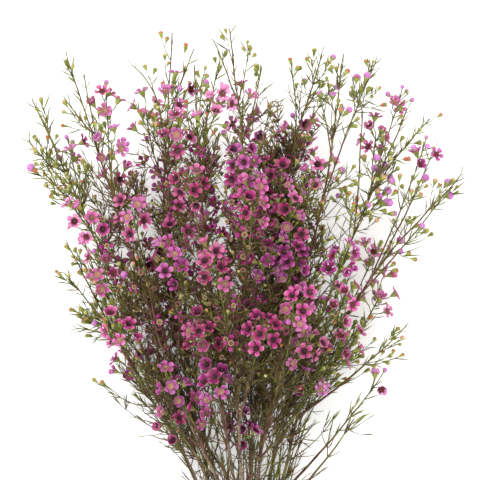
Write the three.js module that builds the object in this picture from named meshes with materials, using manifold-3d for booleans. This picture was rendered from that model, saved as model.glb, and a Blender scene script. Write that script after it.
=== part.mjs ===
// A cut bunch of waxflower (Chamelaucium uncinatum) lying on a flat surface, in millimetres, +Z up.
//
// Ten woody stems lie together at their cut ends and fan out along +Y. Each stem carries side branches with
// needle leaves in opposite pairs. A branch ends in a flowering spray or in a leafy shoot with a green bud.
// A spray is a short rachis with pedicels in opposite pairs, each with a conical calyx and a five-petalled
// bloom, or with a round bud.
//
// Each stem is one solid with its branches, shoots, needles and green buds. Each spray is a solid of its
// own, a hair's breadth from the branch that bears it. The origin is under the middle of the bunch, on the
// surface that it lies on.
import * as THREE from "three";
import Module from "manifold-3d";
import { mergeVertices } from "three/addons/utils/BufferGeometryUtils.js";

const wasm = await Module();
wasm.setup();

// ---- driving dimensions ----

const SEED = 20731;
const MIDDLE = new THREE.Vector3(4.9, 307.5, 0); // of the bunch, measured from the stems' cut ends

const STEM_FOOT_RADIUS = 3.1;
const STEM_TIP_RADIUS = 0.85;
const STEM_TAPER = 0.75; // power of the share along a stem that it thins with
const STEM_SIDES = 5;
const STEM_SEGMENTS = 9;

const BRANCH_ANGLE = THREE.MathUtils.degToRad(22); // between a branch's chord and its stem
const BRANCH_FOOT_SHARE = 0.75; // of the stem's radius there
const BRANCH_TIP_RADIUS = 0.95;
const BRANCH_SEGMENTS = 3;
const TWIG_SIDES = 3;
const FIRST_BRANCH = 0.14; // share of a stem below which nothing grows

const RACHIS_RADIUS = 0.95;
const JOINT_GAP = 0.3; // between a branch's end and the spray it bears
const COLLAR = 1.2; // height of the node that a pair of pedicels or needles grows from
const FIRST_PAIR = 6; // from a spray's foot to its first pair of pedicels
const PAIR_STEP = 8.5; // from one pair of pedicels to the next
const PEDICEL_LENGTH = 18;
const PEDICEL_LEAN = THREE.MathUtils.degToRad(60); // of the lowest pair; the pairs above close in
const FACING_STRAY = 0.55; // of a bloom's direction from its pedicel's, as a share
const TURN_TO_LIGHT = 0.2; // upwards, likewise

const BLOOM_RADIUS = 8;
const PETALS = 5;
const NOTCH_SHARE = 0.6; // of the bloom's radius, where two petals meet
const CUPPING = 0.12; // of the bloom's radius, by which the petals' tips rise
const CALYX_RADIUS_SHARE = 0.3;
const CALYX_DEPTH_SHARE = 0.36;
const BUD_RADIUS = 2.5;
const GREEN_BUD_RADIUS = 1.7;

const NEEDLE_RADIUS = 0.7;
const NEEDLE_LENGTH = 16;
const NEEDLE_LEAN = THREE.MathUtils.degToRad(34);
// Pairs of needles start at a distance from the foot and stand closer towards the tip: the next pair
// follows after a share of what is left of the twig.
const NEEDLE_RULES = {
  stem: { first: 350, share: 0.45, least: 44 },
  branch: { first: 70, share: 0.9, least: 120 },
  shoot: { first: 30, share: 0.3, least: 21 },
};

const CLEARANCE = 0.5; // between the solids of different nodes
const FLOOR_SINK = 0.35; // how far a low piece dips below the surface before it is pressed flat there

// Each stem's line runs from its cut end to its leading tip. A spray is [x, y, z, blooms, buds], at the
// middle of its flowers, and a shoot is [x, y, z], at its tip.
const STEMS = [
  {
    line: [[-19, 4, 2.9], [-24, 90, 4], [-46, 165, 14], [-90, 245, 27], [-128, 312, 36], [-172, 397, 40]],
    sprays: [[-108, 276, 20, 6, 0], [-118, 314, 74, 7, 0], [-142, 374, 62, 8, 1]],
    shoots: [[-164, 316, 40], [-160, 410, 8], [-176, 372, 66]],
  },
  {
    line: [[-11, 14, 2.9], [-15, 92, 5], [-34, 165, 22], [-75, 245, 44], [-140, 395, 70], [-208, 546, 72]],
    sprays: [[-144, 426, 104, 9, 0], [-98, 384, 34, 6, 0], [-174, 495, 50, 3, 3], [-76, 306, 16, 7, 0]],
    shoots: [[-211, 503, 50], [-196, 472, 90]],
  },
  {
    line: [[-7, 2, 9.3], [-9, 95, 16], [-24, 165, 36], [-60, 245, 64], [-125, 445, 112], [-172, 586, 104]],
    sprays: [[-138, 540, 88, 6, 1], [-132, 497, 136, 5, 0], [-124, 468, 50, 5, 0], [-106, 428, 146, 8, 0],
      [-64, 266, 96, 7, 0]],
    shoots: [[-176, 548, 118], [-156, 572, 80]],
  },
  {
    line: [[-3, 9, 2.9], [-4, 92, 4], [-14, 165, 16], [-42, 219, 30], [-76, 390, 64], [-68, 612, 84]],
    sprays: [[-68, 550, 112, 5, 1], [-94, 528, 62, 7, 0], [-66, 508, 142, 7, 0], [-76, 466, 12, 5, 0],
      [-64, 418, 106, 7, 0], [-62, 222, 58, 5, 0]],
    shoots: [[-108, 580, 60], [-46, 596, 92]],
  },
  {
    line: [[1, 16, 9.3], [0, 95, 18], [-6, 165, 42], [-18, 245, 78], [-37, 435, 144], [-45, 578, 132]],
    sprays: [[-34, 532, 152, 8, 0], [-48, 460, 172, 8, 0], [-60, 386, 154, 9, 0], [-34, 422, 126, 8, 0],
      [-36, 316, 132, 8, 0], [-24, 270, 106, 8, 0], [-22, 232, 58, 8, 0]],
    shoots: [[-20, 584, 120]],
  },
  {
    line: [[5, 6, 15.2], [4, 95, 28], [2, 165, 57], [-2, 245, 94], [6, 445, 160], [-10, 614, 124]],
    sprays: [[2, 540, 132, 5, 0], [6, 482, 182, 10, 0], [12, 446, 188, 10, 0], [-22, 384, 182, 10, 0],
      [14, 388, 148, 9, 0], [18, 318, 150, 8, 0]],
    shoots: [[22, 578, 112], [-28, 604, 140]],
  },
  {
    line: [[5, 1, 2.9], [9, 92, 4], [10, 165, 14], [17, 245, 32], [42, 445, 84], [82, 593, 96]],
    sprays: [[18, 506, 92, 8, 0], [54, 516, 70, 5, 1], [36, 470, 122, 8, 0], [6, 214, 44, 6, 0]],
    shoots: [[96, 560, 110], [52, 574, 60]],
  },
  {
    line: [[9, 12, 9.3], [12, 95, 15], [18, 165, 38], [32, 245, 66], [82, 445, 128], [101, 579, 126]],
    sprays: [[76, 468, 96, 8, 0], [52, 430, 154, 10, 0], [50, 382, 124, 9, 0], [56, 344, 160, 8, 0],
      [58, 304, 106, 8, 0]],
    shoots: [[134, 578, 100], [80, 540, 140]],
  },
  {
    line: [[13, 3, 2.9], [19, 92, 4], [30, 165, 16], [50, 245, 36], [112, 405, 62], [168, 536, 84]],
    sprays: [[140, 504, 66, 7, 0], [100, 386, 102, 7, 0], [96, 346, 74, 8, 0], [94, 300, 44, 7, 0],
      [70, 260, 60, 4, 0], [160, 545, 50, 2, 4]],
    shoots: [[122, 534, 96], [190, 526, 70]],
  },
  {
    line: [[21, 10, 2.9], [29, 92, 4], [44, 165, 16], [66, 245, 34], [134, 370, 52], [222, 470, 60]],
    sprays: [[182, 490, 86, 3, 3], [132, 384, 16, 6, 0], [138, 346, 26, 7, 0], [138, 262, 26, 2, 1]],
    shoots: [[165, 316, 44], [116, 224, 14], [202, 444, 8], [196, 500, 44]],
  },
];

// ---- seeded draws ----

// A number from 0 to 1 that depends only on the seed and the keys.
function draw(...keys) {
  let mixed = SEED;
  for (const key of keys) {
    mixed = Math.imul(mixed ^ (key + 1), 0x9e3779b1);
    mixed ^= mixed >>> 15;
    mixed = Math.imul(mixed, 0x85ebca6b);
    mixed ^= mixed >>> 13;
  }
  return (mixed >>> 0) / 4294967296;
}

// A vector whose coordinates are each from -1 to 1.
function stray(...keys) {
  return new THREE.Vector3(...[0, 1, 2].map((axis) => 2 * draw(...keys, axis) - 1));
}

// ---- directions ----

// Two directions at right angles to an axis and to each other.
function crossAxes(axis) {
  const other = Math.abs(axis.z) < 0.9 ? new THREE.Vector3(0, 0, 1) : new THREE.Vector3(1, 0, 0);
  const first = other.cross(axis).normalize();
  return [first, axis.clone().cross(first)];
}

// The direction that leans away from an axis, on the side that a turn about the axis gives.
function leaning(axis, turn, lean) {
  const [first, second] = crossAxes(axis);
  return axis.clone().multiplyScalar(Math.cos(lean))
    .addScaledVector(first, Math.cos(turn) * Math.sin(lean))
    .addScaledVector(second, Math.sin(turn) * Math.sin(lean));
}

function step(from, direction, length) {
  return from.clone().addScaledVector(direction, length);
}

// ---- room: what is already taken, as capsules ----

const taken = [];

function capsule(from, to, radius) {
  const middle = from.clone().add(to).multiplyScalar(0.5);
  return { from, to, radius, middle, reach: from.distanceTo(to) / 2 + radius };
}

function segmentDistance(a, b, c, d) {
  const along = b.clone().sub(a);
  const across = d.clone().sub(c);
  const between = a.clone().sub(c);
  const aa = along.dot(along);
  const cc = across.dot(across);
  const ac = along.dot(across);
  const ab = along.dot(between);
  const cb = across.dot(between);
  const spread = aa * cc - ac * ac;
  let s = spread > 1e-9 ? THREE.MathUtils.clamp((ac * cb - ab * cc) / spread, 0, 1) : 0;
  let t = cc > 1e-9 ? (ac * s + cb) / cc : 0;
  if (t < 0 || t > 1 || cc <= 1e-9) {
    t = THREE.MathUtils.clamp(t, 0, 1);
    s = aa > 1e-9 ? THREE.MathUtils.clamp((ac * t - ab) / aa, 0, 1) : 0;
  }
  return between.addScaledVector(along, s).addScaledVector(across, -t).length();
}

const FAR = 4; // gaps wider than this all count as this

// The smallest gap between two sets of capsules.
function gapBetween(parts, others) {
  let least = FAR;
  for (const part of parts) {
    for (const other of others) {
      if (part.middle.distanceTo(other.middle) - part.reach - other.reach >= least) continue;
      const apart = segmentDistance(part.from, part.to, other.from, other.to);
      least = Math.min(least, apart - part.radius - other.radius);
    }
  }
  return least;
}

function near(place, radius, isOther) {
  return taken.filter((other) => isOther(other) && other.middle.distanceTo(place) - other.reach < radius);
}

function take(parts, node, limb) {
  for (const part of parts) taken.push({ ...part, node, limb });
}

// Capsules along a line whose radius is a function of the share along it.
function lineCapsules(points, radiusAt) {
  return points.slice(1).map((point, i) => capsule(points[i], point, radiusAt(i / (points.length - 1))));
}

// ---- growth: where everything goes ----

function growStem(stem) {
  const bends = stem.line.map((p) => new THREE.Vector3(...p));
  return new THREE.CatmullRomCurve3(bends, false, "catmullrom", 0.5).getPoints(STEM_SEGMENTS);
}

// The point and direction at a distance along a line.
function along(line, distance) {
  let left = distance;
  let i = 1;
  while (i < line.length - 1 && left > line[i].distanceTo(line[i - 1])) {
    left -= line[i].distanceTo(line[i - 1]);
    i++;
  }
  const axis = line[i].clone().sub(line[i - 1]).normalize();
  return { point: step(line[i - 1], axis, left), axis };
}

function lengthOf(line) {
  return line.slice(1).reduce((sum, point, i) => sum + point.distanceTo(line[i]), 0);
}

// The radius at a share of the way along a stem, and along a branch with this radius at its foot.
function stemRadius(share) {
  return THREE.MathUtils.lerp(STEM_FOOT_RADIUS, STEM_TIP_RADIUS, Math.pow(share, STEM_TAPER));
}

function branchRadius(foot) {
  return (share) => THREE.MathUtils.lerp(foot, BRANCH_TIP_RADIUS, share);
}

// Where a branch to this tip leaves the stem, so that its chord makes BRANCH_ANGLE with the stem.
function branchFoot(stem, tip) {
  const steps = 120;
  const length = lengthOf(stem);
  const walk = Array.from({ length: steps + 1 }, (_, i) => along(stem, (length * i) / steps));
  const distances = walk.map(({ point }) => point.distanceTo(tip));
  const nearest = distances.indexOf(Math.min(...distances));
  const back = distances[nearest] / Math.tan(BRANCH_ANGLE);
  const most = Math.min(nearest, steps - 6) - Math.floor((back * steps) / length);
  const share = Math.max(most / steps, FIRST_BRANCH);
  const { point, axis } = along(stem, length * share);
  return { foot: point, heading: axis, radius: BRANCH_FOOT_SHARE * stemRadius(share) };
}

// A branch bows out from its stem and turns up to run nearly along it. Later attempts bow it further aside.
function growBranch(stem, tip, attempt, ...keys) {
  const { foot, heading, radius } = branchFoot(stem, tip);
  const reach = tip.clone().sub(foot);
  const outward = step(reach, heading, -reach.dot(heading)).normalize();
  const finish = heading.multiplyScalar(0.85).addScaledVector(outward, 0.35).normalize();
  const bend = step(tip, finish, -0.45 * reach.length());
  bend.addScaledVector(stray(...keys, attempt), 3 + 3 * attempt);
  bend.z = Math.max(bend.z, 3);
  const bow = new THREE.QuadraticBezierCurve3(foot, bend, tip);
  return { line: bow.getPoints(BRANCH_SEGMENTS), end: tip.clone().sub(bend).normalize(), radius };
}

function rachisLength(heads) {
  return FIRST_PAIR + PAIR_STEP * (Math.ceil(heads / 2) - 1) + 1.5;
}

// One flower or bud of a spray. They stand in opposite pairs, each pair across the one below, and an odd
// one ends the rachis. All turn a little towards the light above.
function growHead(spray, k, attempt, ...keys) {
  const pair = k >> 1;
  const terminal = k === spray.heads - 1 && spray.heads % 2 === 1;
  const open = k < spray.blooms;
  const root = step(spray.foot, spray.axis, FIRST_PAIR + PAIR_STEP * pair);
  const sway = stray(...keys, k, attempt);
  const ease = 0.15 + 0.04 * attempt;
  const turn = spray.roll + (k % 2) * Math.PI + pair * (Math.PI / 2) + ease * sway.x;
  const lean = terminal ? 0.12 : PEDICEL_LEAN - 0.12 * pair + ease * sway.y;
  const way = leaning(spray.axis, turn, lean);
  way.z += terminal ? 0 : 0.25;
  way.normalize();
  const facing = way.clone().addScaledVector(stray(...keys, k, attempt, 1), FACING_STRAY + 0.03 * attempt);
  facing.z += TURN_TO_LIGHT;
  facing.normalize();
  const size = draw(...keys, k, 7);
  const radius = open ? BLOOM_RADIUS * (0.93 + 0.14 * size) : BUD_RADIUS * (0.85 + 0.3 * size);
  const centre = step(root, way, PEDICEL_LENGTH * (open ? 1 : 0.8) * (1 + 0.3 * ease * sway.z));
  centre.z = Math.max(centre.z, radius * Math.hypot(facing.x, facing.y) - FLOOR_SINK);
  const roll = 2 * Math.PI * draw(...keys, k, 8);
  return { root, centre, facing, radius, open, terminal, roll, way: centre.clone().sub(root).normalize() };
}

// The capsules of a bloom or bud: its pedicel, then its middle and its petals.
function headCapsules({ root, centre, facing, radius, open, roll }) {
  const stalk = capsule(root, centre, 1);
  if (!open) return { stalk, crown: [capsule(centre, centre, radius)] };
  const under = step(centre, facing, -CALYX_DEPTH_SHARE * radius);
  const crown = [capsule(under, centre, 1.1 * CALYX_RADIUS_SHARE * radius)];
  for (let p = 0; p < PETALS; p++) {
    const outward = leaning(facing, roll + (2 * Math.PI * p) / PETALS, Math.PI / 2);
    const petal = step(centre, outward, 0.6 * radius);
    crown.push(capsule(petal, step(petal, outward, 0.2 * radius), 0.25 * radius));
  }
  return { stalk, crown };
}

// The face of a straight three-sided rachis that a head grows from: the free one that it leans to most.
function faceFor(axis, way, used) {
  let best = { face: -1, lean: -1 };
  for (let face = 0; face < TWIG_SIDES; face++) {
    const lean = way.dot(leaning(axis, ((2 * face + 1) * Math.PI) / TWIG_SIDES, Math.PI / 2));
    if (face !== used && lean > best.lean) best = { face, lean };
  }
  return best;
}

const HEAD_ATTEMPTS = 10;
const LEAST_LEAN = 0.3; // of a head to its face, so that its pedicel stands clear of the rachis

// A spray's heads, each in the first place, or failing that in the best, that keeps it clear.
function growSpray(spray, around, ...keys) {
  const { foot, axis } = spray;
  const rachis = capsule(foot, step(foot, axis, rachisLength(spray.heads)), RACHIS_RADIUS);
  const grown = { heads: [], parts: [rachis], gap: gapBetween([rachis], around) };
  const stalks = [];
  const crowns = [rachis];
  let used = -1;
  for (let k = 0; k < spray.heads; k++) {
    let best = null;
    for (let attempt = 0; attempt < HEAD_ATTEMPTS; attempt++) {
      const head = growHead(spray, k, attempt, ...keys);
      const { face, lean } = faceFor(axis, head.way, k % 2 === 1 ? used : -1);
      const { stalk, crown } = headCapsules(head);
      const clear = gapBetween([stalk, ...crown], around);
      const others = [...crowns, ...stalks];
      const own = Math.min(gapBetween(crown, others), gapBetween([stalk], crowns.slice(1)));
      const rooted = head.terminal || lean >= LEAST_LEAN ? 0 : -9;
      const score = Math.min(clear - CLEARANCE, own, rooted, 0);
      if (!best || score > best.score) best = { head, stalk, crown, clear, score, face };
      if (score >= 0) break;
    }
    used = best.face;
    grown.heads.push(best.head);
    grown.gap = Math.min(grown.gap, best.clear);
    grown.parts.push(best.stalk, ...best.crown);
    stalks.push(best.stalk);
    crowns.push(...best.crown);
  }
  return grown;
}

const BRANCH_ATTEMPTS = 40;

// A branch with its spray, in the first of its possible bows and turns that keeps clear of other nodes.
function growLimb(stem, tip, blooms, heads, node, sprayNode, ...keys) {
  let best = null;
  for (let attempt = 0; attempt < BRANCH_ATTEMPTS; attempt++) {
    const branch = growBranch(stem, tip, attempt >> 2, ...keys);
    const wood = lineCapsules(branch.line, branchRadius(branch.radius));
    const others = near(branch.line[0], 400, (other) => other.node !== node);
    let gap = gapBetween(wood, others);
    let spray = { heads: [], parts: [] };
    if (heads > 0) {
      const foot = step(tip, branch.end, JOINT_GAP);
      const roll = 2 * Math.PI * draw(...keys, 50 + attempt);
      const around = near(tip, 80, () => true);
      spray = growSpray({ foot, axis: branch.end, roll, blooms, heads }, around, ...keys, 60);
      gap = Math.min(gap, spray.gap);
    }
    if (!best || gap > best.gap) best = { ...branch, spray, wood, gap };
    if (gap >= CLEARANCE) break;
  }
  take(best.wood, node, sprayNode);
  take(best.spray.parts, sprayNode, sprayNode);
  return best;
}

// Needles in opposite pairs, each pair across the one before, where they keep clear of everything else.
function growNeedles(line, kind, node, limb, ...keys) {
  const pairs = [];
  const length = lengthOf(line);
  const { first, share, least } = NEEDLE_RULES[kind];
  for (let at = first, pair = 0; at < length - 2; at += Math.max(share * (length - at), least), pair++) {
    const { point, axis } = along(line, at);
    const tips = [];
    for (const side of [0, 1]) {
      const sway = stray(...keys, pair, side);
      const turn = side * Math.PI + pair * (Math.PI / 2) + 0.3 * sway.x;
      const way = leaning(axis, turn, NEEDLE_LEAN * (1 + 0.2 * sway.y));
      const tip = step(point, way, NEEDLE_LENGTH * (1 + 0.2 * sway.z));
      tip.z = Math.max(tip.z, NEEDLE_RADIUS);
      const needle = capsule(point, tip, NEEDLE_RADIUS);
      if (gapBetween([needle], near(point, 30, (other) => other.limb !== limb)) < CLEARANCE) continue;
      take([needle], node, limb);
      tips.push(tip);
    }
    if (tips.length > 0) pairs.push({ at, grows: tips.map((tip) => ({ tip })) });
  }
  return pairs;
}

// ---- skins: the corners and triangles of one solid ----

// The corners of a ring about a point, from the side that a turn gives.
function ring(point, axis, radius, sides, turn = 0) {
  return Array.from({ length: sides }, (_, k) => (
    step(point, leaning(axis, turn + (2 * Math.PI * k) / sides, Math.PI / 2), radius)
  ));
}

class Skin {
  corners = [];
  index = [];

  add(points) {
    this.corners.push(...points);
    return points.map((_, k) => this.corners.length - points.length + k);
  }

  // The band between two rings, which may differ in their number of corners.
  zip(lower, upper) {
    const [many, few] = lower.length >= upper.length ? [lower, upper] : [upper, lower];
    const outward = (a, b, c) => (many === lower ? this.index.push(a, b, c) : this.index.push(c, b, a));
    const partner = (i) => few[Math.round((i * few.length) / many.length) % few.length];
    for (let i = 0; i < many.length; i++) {
      const next = many[(i + 1) % many.length];
      outward(many[i], next, partner(i));
      if (partner(i + 1) !== partner(i)) outward(next, partner(i + 1), partner(i));
    }
  }

  cone(base, tip) {
    const [apex] = this.add([tip]);
    base.forEach((corner, k) => this.index.push(corner, base[(k + 1) % base.length], apex));
  }

  lid(end) {
    for (let k = 1; k < end.length - 1; k++) this.index.push(end[0], end[k], end[k + 1]);
  }

  middle(corners) {
    const sum = corners.reduce((total, corner) => total.add(this.corners[corner]), new THREE.Vector3());
    return sum.divideScalar(corners.length);
  }

  geometry() {
    const geometry = new THREE.BufferGeometry().setFromPoints(this.corners);
    return geometry.setIndex(this.index);
  }
}

// A root's corners, from the one that is nearest in direction to a ring's first corner.
function turnedTo(skin, root, other) {
  const lead = skin.corners[other[0]].clone().sub(skin.middle(other));
  const middle = skin.middle(root);
  const shares = root.map((corner) => skin.corners[corner].clone().sub(middle).dot(lead));
  const first = shares.indexOf(Math.max(...shares));
  return [...root.slice(first), ...root.slice(0, first)];
}

// A bloom on its pedicel. The calyx widens to petals that meet at notches, thick at the calyx and thin at
// their tips.
function addBloom(skin, root, { centre, facing, radius, roll }) {
  const below = step(centre, facing, -CALYX_DEPTH_SHARE * radius);
  const calyx = skin.add(ring(below, facing, CALYX_RADIUS_SHARE * radius, TWIG_SIDES, roll));
  const tips = skin.add(ring(step(centre, facing, CUPPING * radius), facing, radius, PETALS, roll));
  const notches = skin.add(ring(centre, facing, NOTCH_SHARE * radius, PETALS, roll + Math.PI / PETALS));
  skin.zip(turnedTo(skin, root, calyx), calyx);
  skin.zip(calyx, tips.flatMap((tip, p) => [tip, notches[p]]));
  tips.forEach((tip, p) => skin.lid([notches[(p + PETALS - 1) % PETALS], tip, notches[p]]));
  skin.lid(notches);
}

// A bud on its pedicel, widest at four corners, with a blunt tip.
function addBud(skin, root, { root: from, centre, radius }) {
  const axis = centre.clone().sub(from).normalize();
  const widest = skin.add(ring(centre, axis, radius, 4));
  skin.zip(turnedTo(skin, root, widest), widest);
  skin.cone(widest, step(centre, axis, radius));
}

function addGrowth(skin, root, growth) {
  if (growth.tip) skin.cone(root, growth.tip);
  else if (growth.open) addBloom(skin, root, growth);
  else addBud(skin, root, growth);
}

// The collar between two rings. What grows there stands on the free face that it leans to most.
function addCollar(skin, lower, upper, grows) {
  const faces = lower.map((corner, k) => {
    const next = (k + 1) % lower.length;
    return [corner, lower[next], upper[next], upper[k]];
  });
  const middle = skin.middle([...lower, ...upper]);
  const free = faces.map((face) => ({ face, out: skin.middle(face).sub(middle).normalize() }));
  for (const growth of grows) {
    const way = (growth.tip || growth.centre).clone().sub(middle);
    const leans = free.map(({ out }) => way.dot(out));
    const [{ face }] = free.splice(leans.indexOf(Math.max(...leans)), 1);
    addGrowth(skin, face, growth);
  }
  for (const { face } of free) skin.lid(face);
}

// A twig along a line, with a collar at each of its nodes. Returns the ring at its end, which stays open.
function addTwig(skin, line, radiusAt, sides, nodes) {
  const length = lengthOf(line);
  const half = COLLAR / 2;
  const collars = nodes.flatMap((node) => [{ at: node.at - half }, { at: node.at + half, node }]);
  const bends = line.map((_, i) => ({ at: lengthOf(line.slice(0, i + 1)) }));
  const apart = bends.filter(({ at }, i) => (
    i === 0 || i === line.length - 1 || nodes.every((node) => Math.abs(node.at - at) > 6 * COLLAR)
  ));
  let normal = null;
  let lower = null;
  for (const { at, node } of [...collars, ...apart].sort((a, b) => a.at - b.at)) {
    const { point, axis } = along(line, at);
    normal = normal || crossAxes(axis)[0];
    normal.addScaledVector(axis, -normal.dot(axis)).normalize();
    const side = axis.clone().cross(normal);
    const radius = radiusAt(at / length);
    const upper = skin.add(Array.from({ length: sides }, (_, k) => {
      const turn = (2 * Math.PI * k) / sides;
      return step(step(point, normal, radius * Math.cos(turn)), side, radius * Math.sin(turn));
    }));
    if (!lower) skin.lid([...upper].reverse());
    else if (node) addCollar(skin, lower, upper, node.grows);
    else skin.zip(lower, upper);
    lower = upper;
  }
  return lower;
}

function stemSolid(line, nodes) {
  const skin = new Skin();
  skin.lid(addTwig(skin, line, stemRadius, STEM_SIDES, nodes));
  return skin.geometry();
}

// A side branch. A leafy shoot ends in a green bud, and any other in a flat end for its spray.
function branchSolid({ line, end, radius, spray }, nodes) {
  const skin = new Skin();
  const top = addTwig(skin, line, branchRadius(radius), TWIG_SIDES, nodes);
  if (spray.heads.length > 0) {
    skin.lid(top);
    return skin.geometry();
  }
  const tip = line[line.length - 1];
  const widest = skin.add(ring(step(tip, end, 3), end, GREEN_BUD_RADIUS, TWIG_SIDES));
  skin.zip(turnedTo(skin, top, widest), widest);
  skin.cone(widest, step(tip, end, 6));
  return skin.geometry();
}

function spraySolid({ line, end, spray }) {
  const skin = new Skin();
  const foot = step(line[line.length - 1], end, JOINT_GAP);
  const top = step(foot, end, rachisLength(spray.heads.length));
  const last = spray.heads.find((head) => head.terminal);
  const nodes = [];
  for (let k = 0; k + 1 < spray.heads.length; k += 2) {
    nodes.push({ at: FIRST_PAIR + (PAIR_STEP * k) / 2, grows: spray.heads.slice(k, k + 2) });
  }
  const open = addTwig(skin, [foot, last ? last.root : top], () => RACHIS_RADIUS, TWIG_SIDES, nodes);
  if (last) addGrowth(skin, open, last);
  else skin.lid(open);
  return skin.geometry();
}

// ---- joining and cutting ----

function solidOf(geometry) {
  const bare = geometry.clone();
  bare.deleteAttribute("normal");
  bare.deleteAttribute("uv");
  const merged = mergeVertices(bare, 1e-4);
  return new wasm.Manifold(new wasm.Mesh({
    numProp: 3,
    vertProperties: merged.attributes.position.array,
    triVerts: new Uint32Array(merged.index.array),
  }));
}

const ground = solidOf(new THREE.BoxGeometry(2000, 2000, 100).translate(0, 300, -50));

// Everything fused, and pressed flat where it dips below the surface.
function fused(geometries) {
  let whole = solidOf(geometries[0]);
  for (const geometry of geometries.slice(1)) whole = whole.add(solidOf(geometry));
  const { vertProperties, triVerts } = whole.subtract(ground).getMesh();
  const geometry = new THREE.BufferGeometry();
  geometry.setAttribute("position", new THREE.Float32BufferAttribute(vertProperties, 3));
  return geometry.setIndex(Array.from(triVerts));
}

// ---- the bunch ----

const BARK = new THREE.MeshStandardMaterial({ color: 0x6f6a45, roughness: 0.85, metalness: 0 });
const PETAL_COLOURS = [0xb8388f, 0xcf5fae, 0xa33a72];
const PETALS_OF = PETAL_COLOURS.map((color) => (
  new THREE.MeshStandardMaterial({ color, roughness: 0.6, metalness: 0 })
));

const bunch = new THREE.Group();

function addPiece(name, geometries, material) {
  const mesh = new THREE.Mesh(fused(geometries), material);
  mesh.name = name;
  bunch.add(mesh);
}

const stems = STEMS.map((stem, s) => ({ ...stem, line: growStem(stem), node: `stem_${s + 1}` }));
for (const { line, node } of stems) take(lineCapsules(line, stemRadius), node, node);

stems.forEach((stem, s) => {
  const tips = [...stem.sprays, ...stem.shoots.map((tip) => [...tip, 0, 0])];
  stem.limbs = tips.map(([x, y, z, blooms, buds], b) => {
    const sprayNode = `spray_${s + 1}_${b + 1}`;
    const tip = new THREE.Vector3(x, y, z);
    // a spray's place is given at the middle of its flowers, which is past its branch's end
    const heads = blooms + buds;
    const heading = new THREE.Vector3(x, y - 40, 0).normalize();
    if (heads > 0) tip.addScaledVector(heading, -6 - 0.5 * rachisLength(heads));
    tip.z = Math.max(tip.z, 4);
    return { sprayNode, ...growLimb(stem.line, tip, blooms, heads, stem.node, sprayNode, s, b) };
  });
});

stems.forEach(({ line, node, limbs }, s) => {
  const pieces = [stemSolid(line, growNeedles(line, "stem", node, node, s, 40))];
  limbs.forEach((limb, b) => {
    const kind = limb.spray.heads.length > 0 ? "branch" : "shoot";
    pieces.push(branchSolid(limb, growNeedles(limb.line, kind, node, limb.sprayNode, s, 41 + b)));
  });
  addPiece(node, pieces, BARK);
  limbs.filter((limb) => limb.spray.heads.length > 0).forEach((limb, b) => {
    addPiece(limb.sprayNode, [spraySolid(limb)], PETALS_OF[(s + b) % PETALS_OF.length]);
  });
});

bunch.position.copy(MIDDLE).negate();

export default bunch;
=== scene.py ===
import math

import bpy
import numpy as np
from mathutils import Matrix, Vector, noise


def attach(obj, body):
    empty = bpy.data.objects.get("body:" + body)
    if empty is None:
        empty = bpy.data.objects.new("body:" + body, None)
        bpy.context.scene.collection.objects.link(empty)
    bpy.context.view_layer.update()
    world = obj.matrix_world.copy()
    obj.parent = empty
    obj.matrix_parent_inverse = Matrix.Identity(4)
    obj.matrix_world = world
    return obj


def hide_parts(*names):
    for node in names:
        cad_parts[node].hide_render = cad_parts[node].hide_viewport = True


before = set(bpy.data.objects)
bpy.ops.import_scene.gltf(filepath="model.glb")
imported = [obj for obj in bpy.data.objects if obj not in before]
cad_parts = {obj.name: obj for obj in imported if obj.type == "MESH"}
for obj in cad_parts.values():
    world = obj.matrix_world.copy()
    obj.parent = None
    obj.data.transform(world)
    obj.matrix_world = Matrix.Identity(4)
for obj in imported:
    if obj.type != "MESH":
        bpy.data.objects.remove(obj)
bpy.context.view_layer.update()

# ---- The stems and their side branches ----
# Ten woody stems, cut off at the foot, each grown in one piece with its side branches. The bark is grey-brown
# and rough low down, and turns thin, smooth and olive green towards the youngest wood at the tips.

# All growth is worked out in millimetres from the middle of the stems' cut ends, and MIDDLE is the middle of
# the bunch, which the part's origin is under.
SEED = 20731
MIDDLE = np.array([4.9, 307.5, 0.0])
STEM_FOOT_RADIUS = 3.1
STEM_TIP_RADIUS = 0.85
STEM_TAPER = 0.75  # power of the share of its length that a stem's radius shrinks with
STEM_SEGMENTS = 9  # of a stem as the part has it
FINE_SEGMENTS = 150  # of the smooth line that its branches start on
BRANCH_ANGLE = math.radians(22)
BRANCH_FOOT_SHARE = 0.75  # of the stem's radius where the branch leaves it
BRANCH_TIP_RADIUS = 0.95
BRANCH_SEGMENTS = 22
BRANCH_BEND = 0.45  # share of a branch's reach, from its tip back to where it bends
BRANCH_STRAY = 3  # of that bend to each side, and as much again for each new way that growth tried
TIP_LOWEST, BEND_LOWEST = 4, 3  # above the surface
FIRST_BRANCH = 0.14  # share of a stem's length, below which it has no branch
SPREAD_FROM = 40  # from the cut ends, the height that the sprays point away from
FIRST_PAIR = 6  # from the foot of a spray to its first pair of stalks
PAIR_STEP = 8.5  # from each pair to the next
RACHIS_END = 1.5  # beyond the last pair
JOINT_GAP = 0.3  # between a branch and the spray that it bears
FLOWERS_BEYOND = 6  # from a branch's tip to the middle of its flowers, besides half the spray's own stem
STALK_LENGTH = 18
BUD_STALK_SHARE = 0.8  # of that length, for a bud
STALK_LEAN = math.radians(60)
PAIR_LEAN = 0.12  # by which each further pair of stalks leans less
END_LEAN = 0.12  # of a single stalk at the end
STALK_RISE = 0.25
FACING_STRAY = 0.55
TURN_TO_LIGHT = 0.2
BLOOM_RADIUS = 8
BUD_RADIUS = 2.5
FLOOR_SINK = 0.35
CUPPING = 0.12  # of a flower's radius, by which its petals' tips rise
GREEN_BUD_LENGTH = 6  # at the end of a leafy shoot
WOOD_SIDES = 9
SLIM_STEM_TIP = 0.75  # shares of the part's own radii, which are a little sturdier
SLIM_BRANCH_FOOT = 0.9
SLIM_BRANCH_TIP = 0.6
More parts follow.
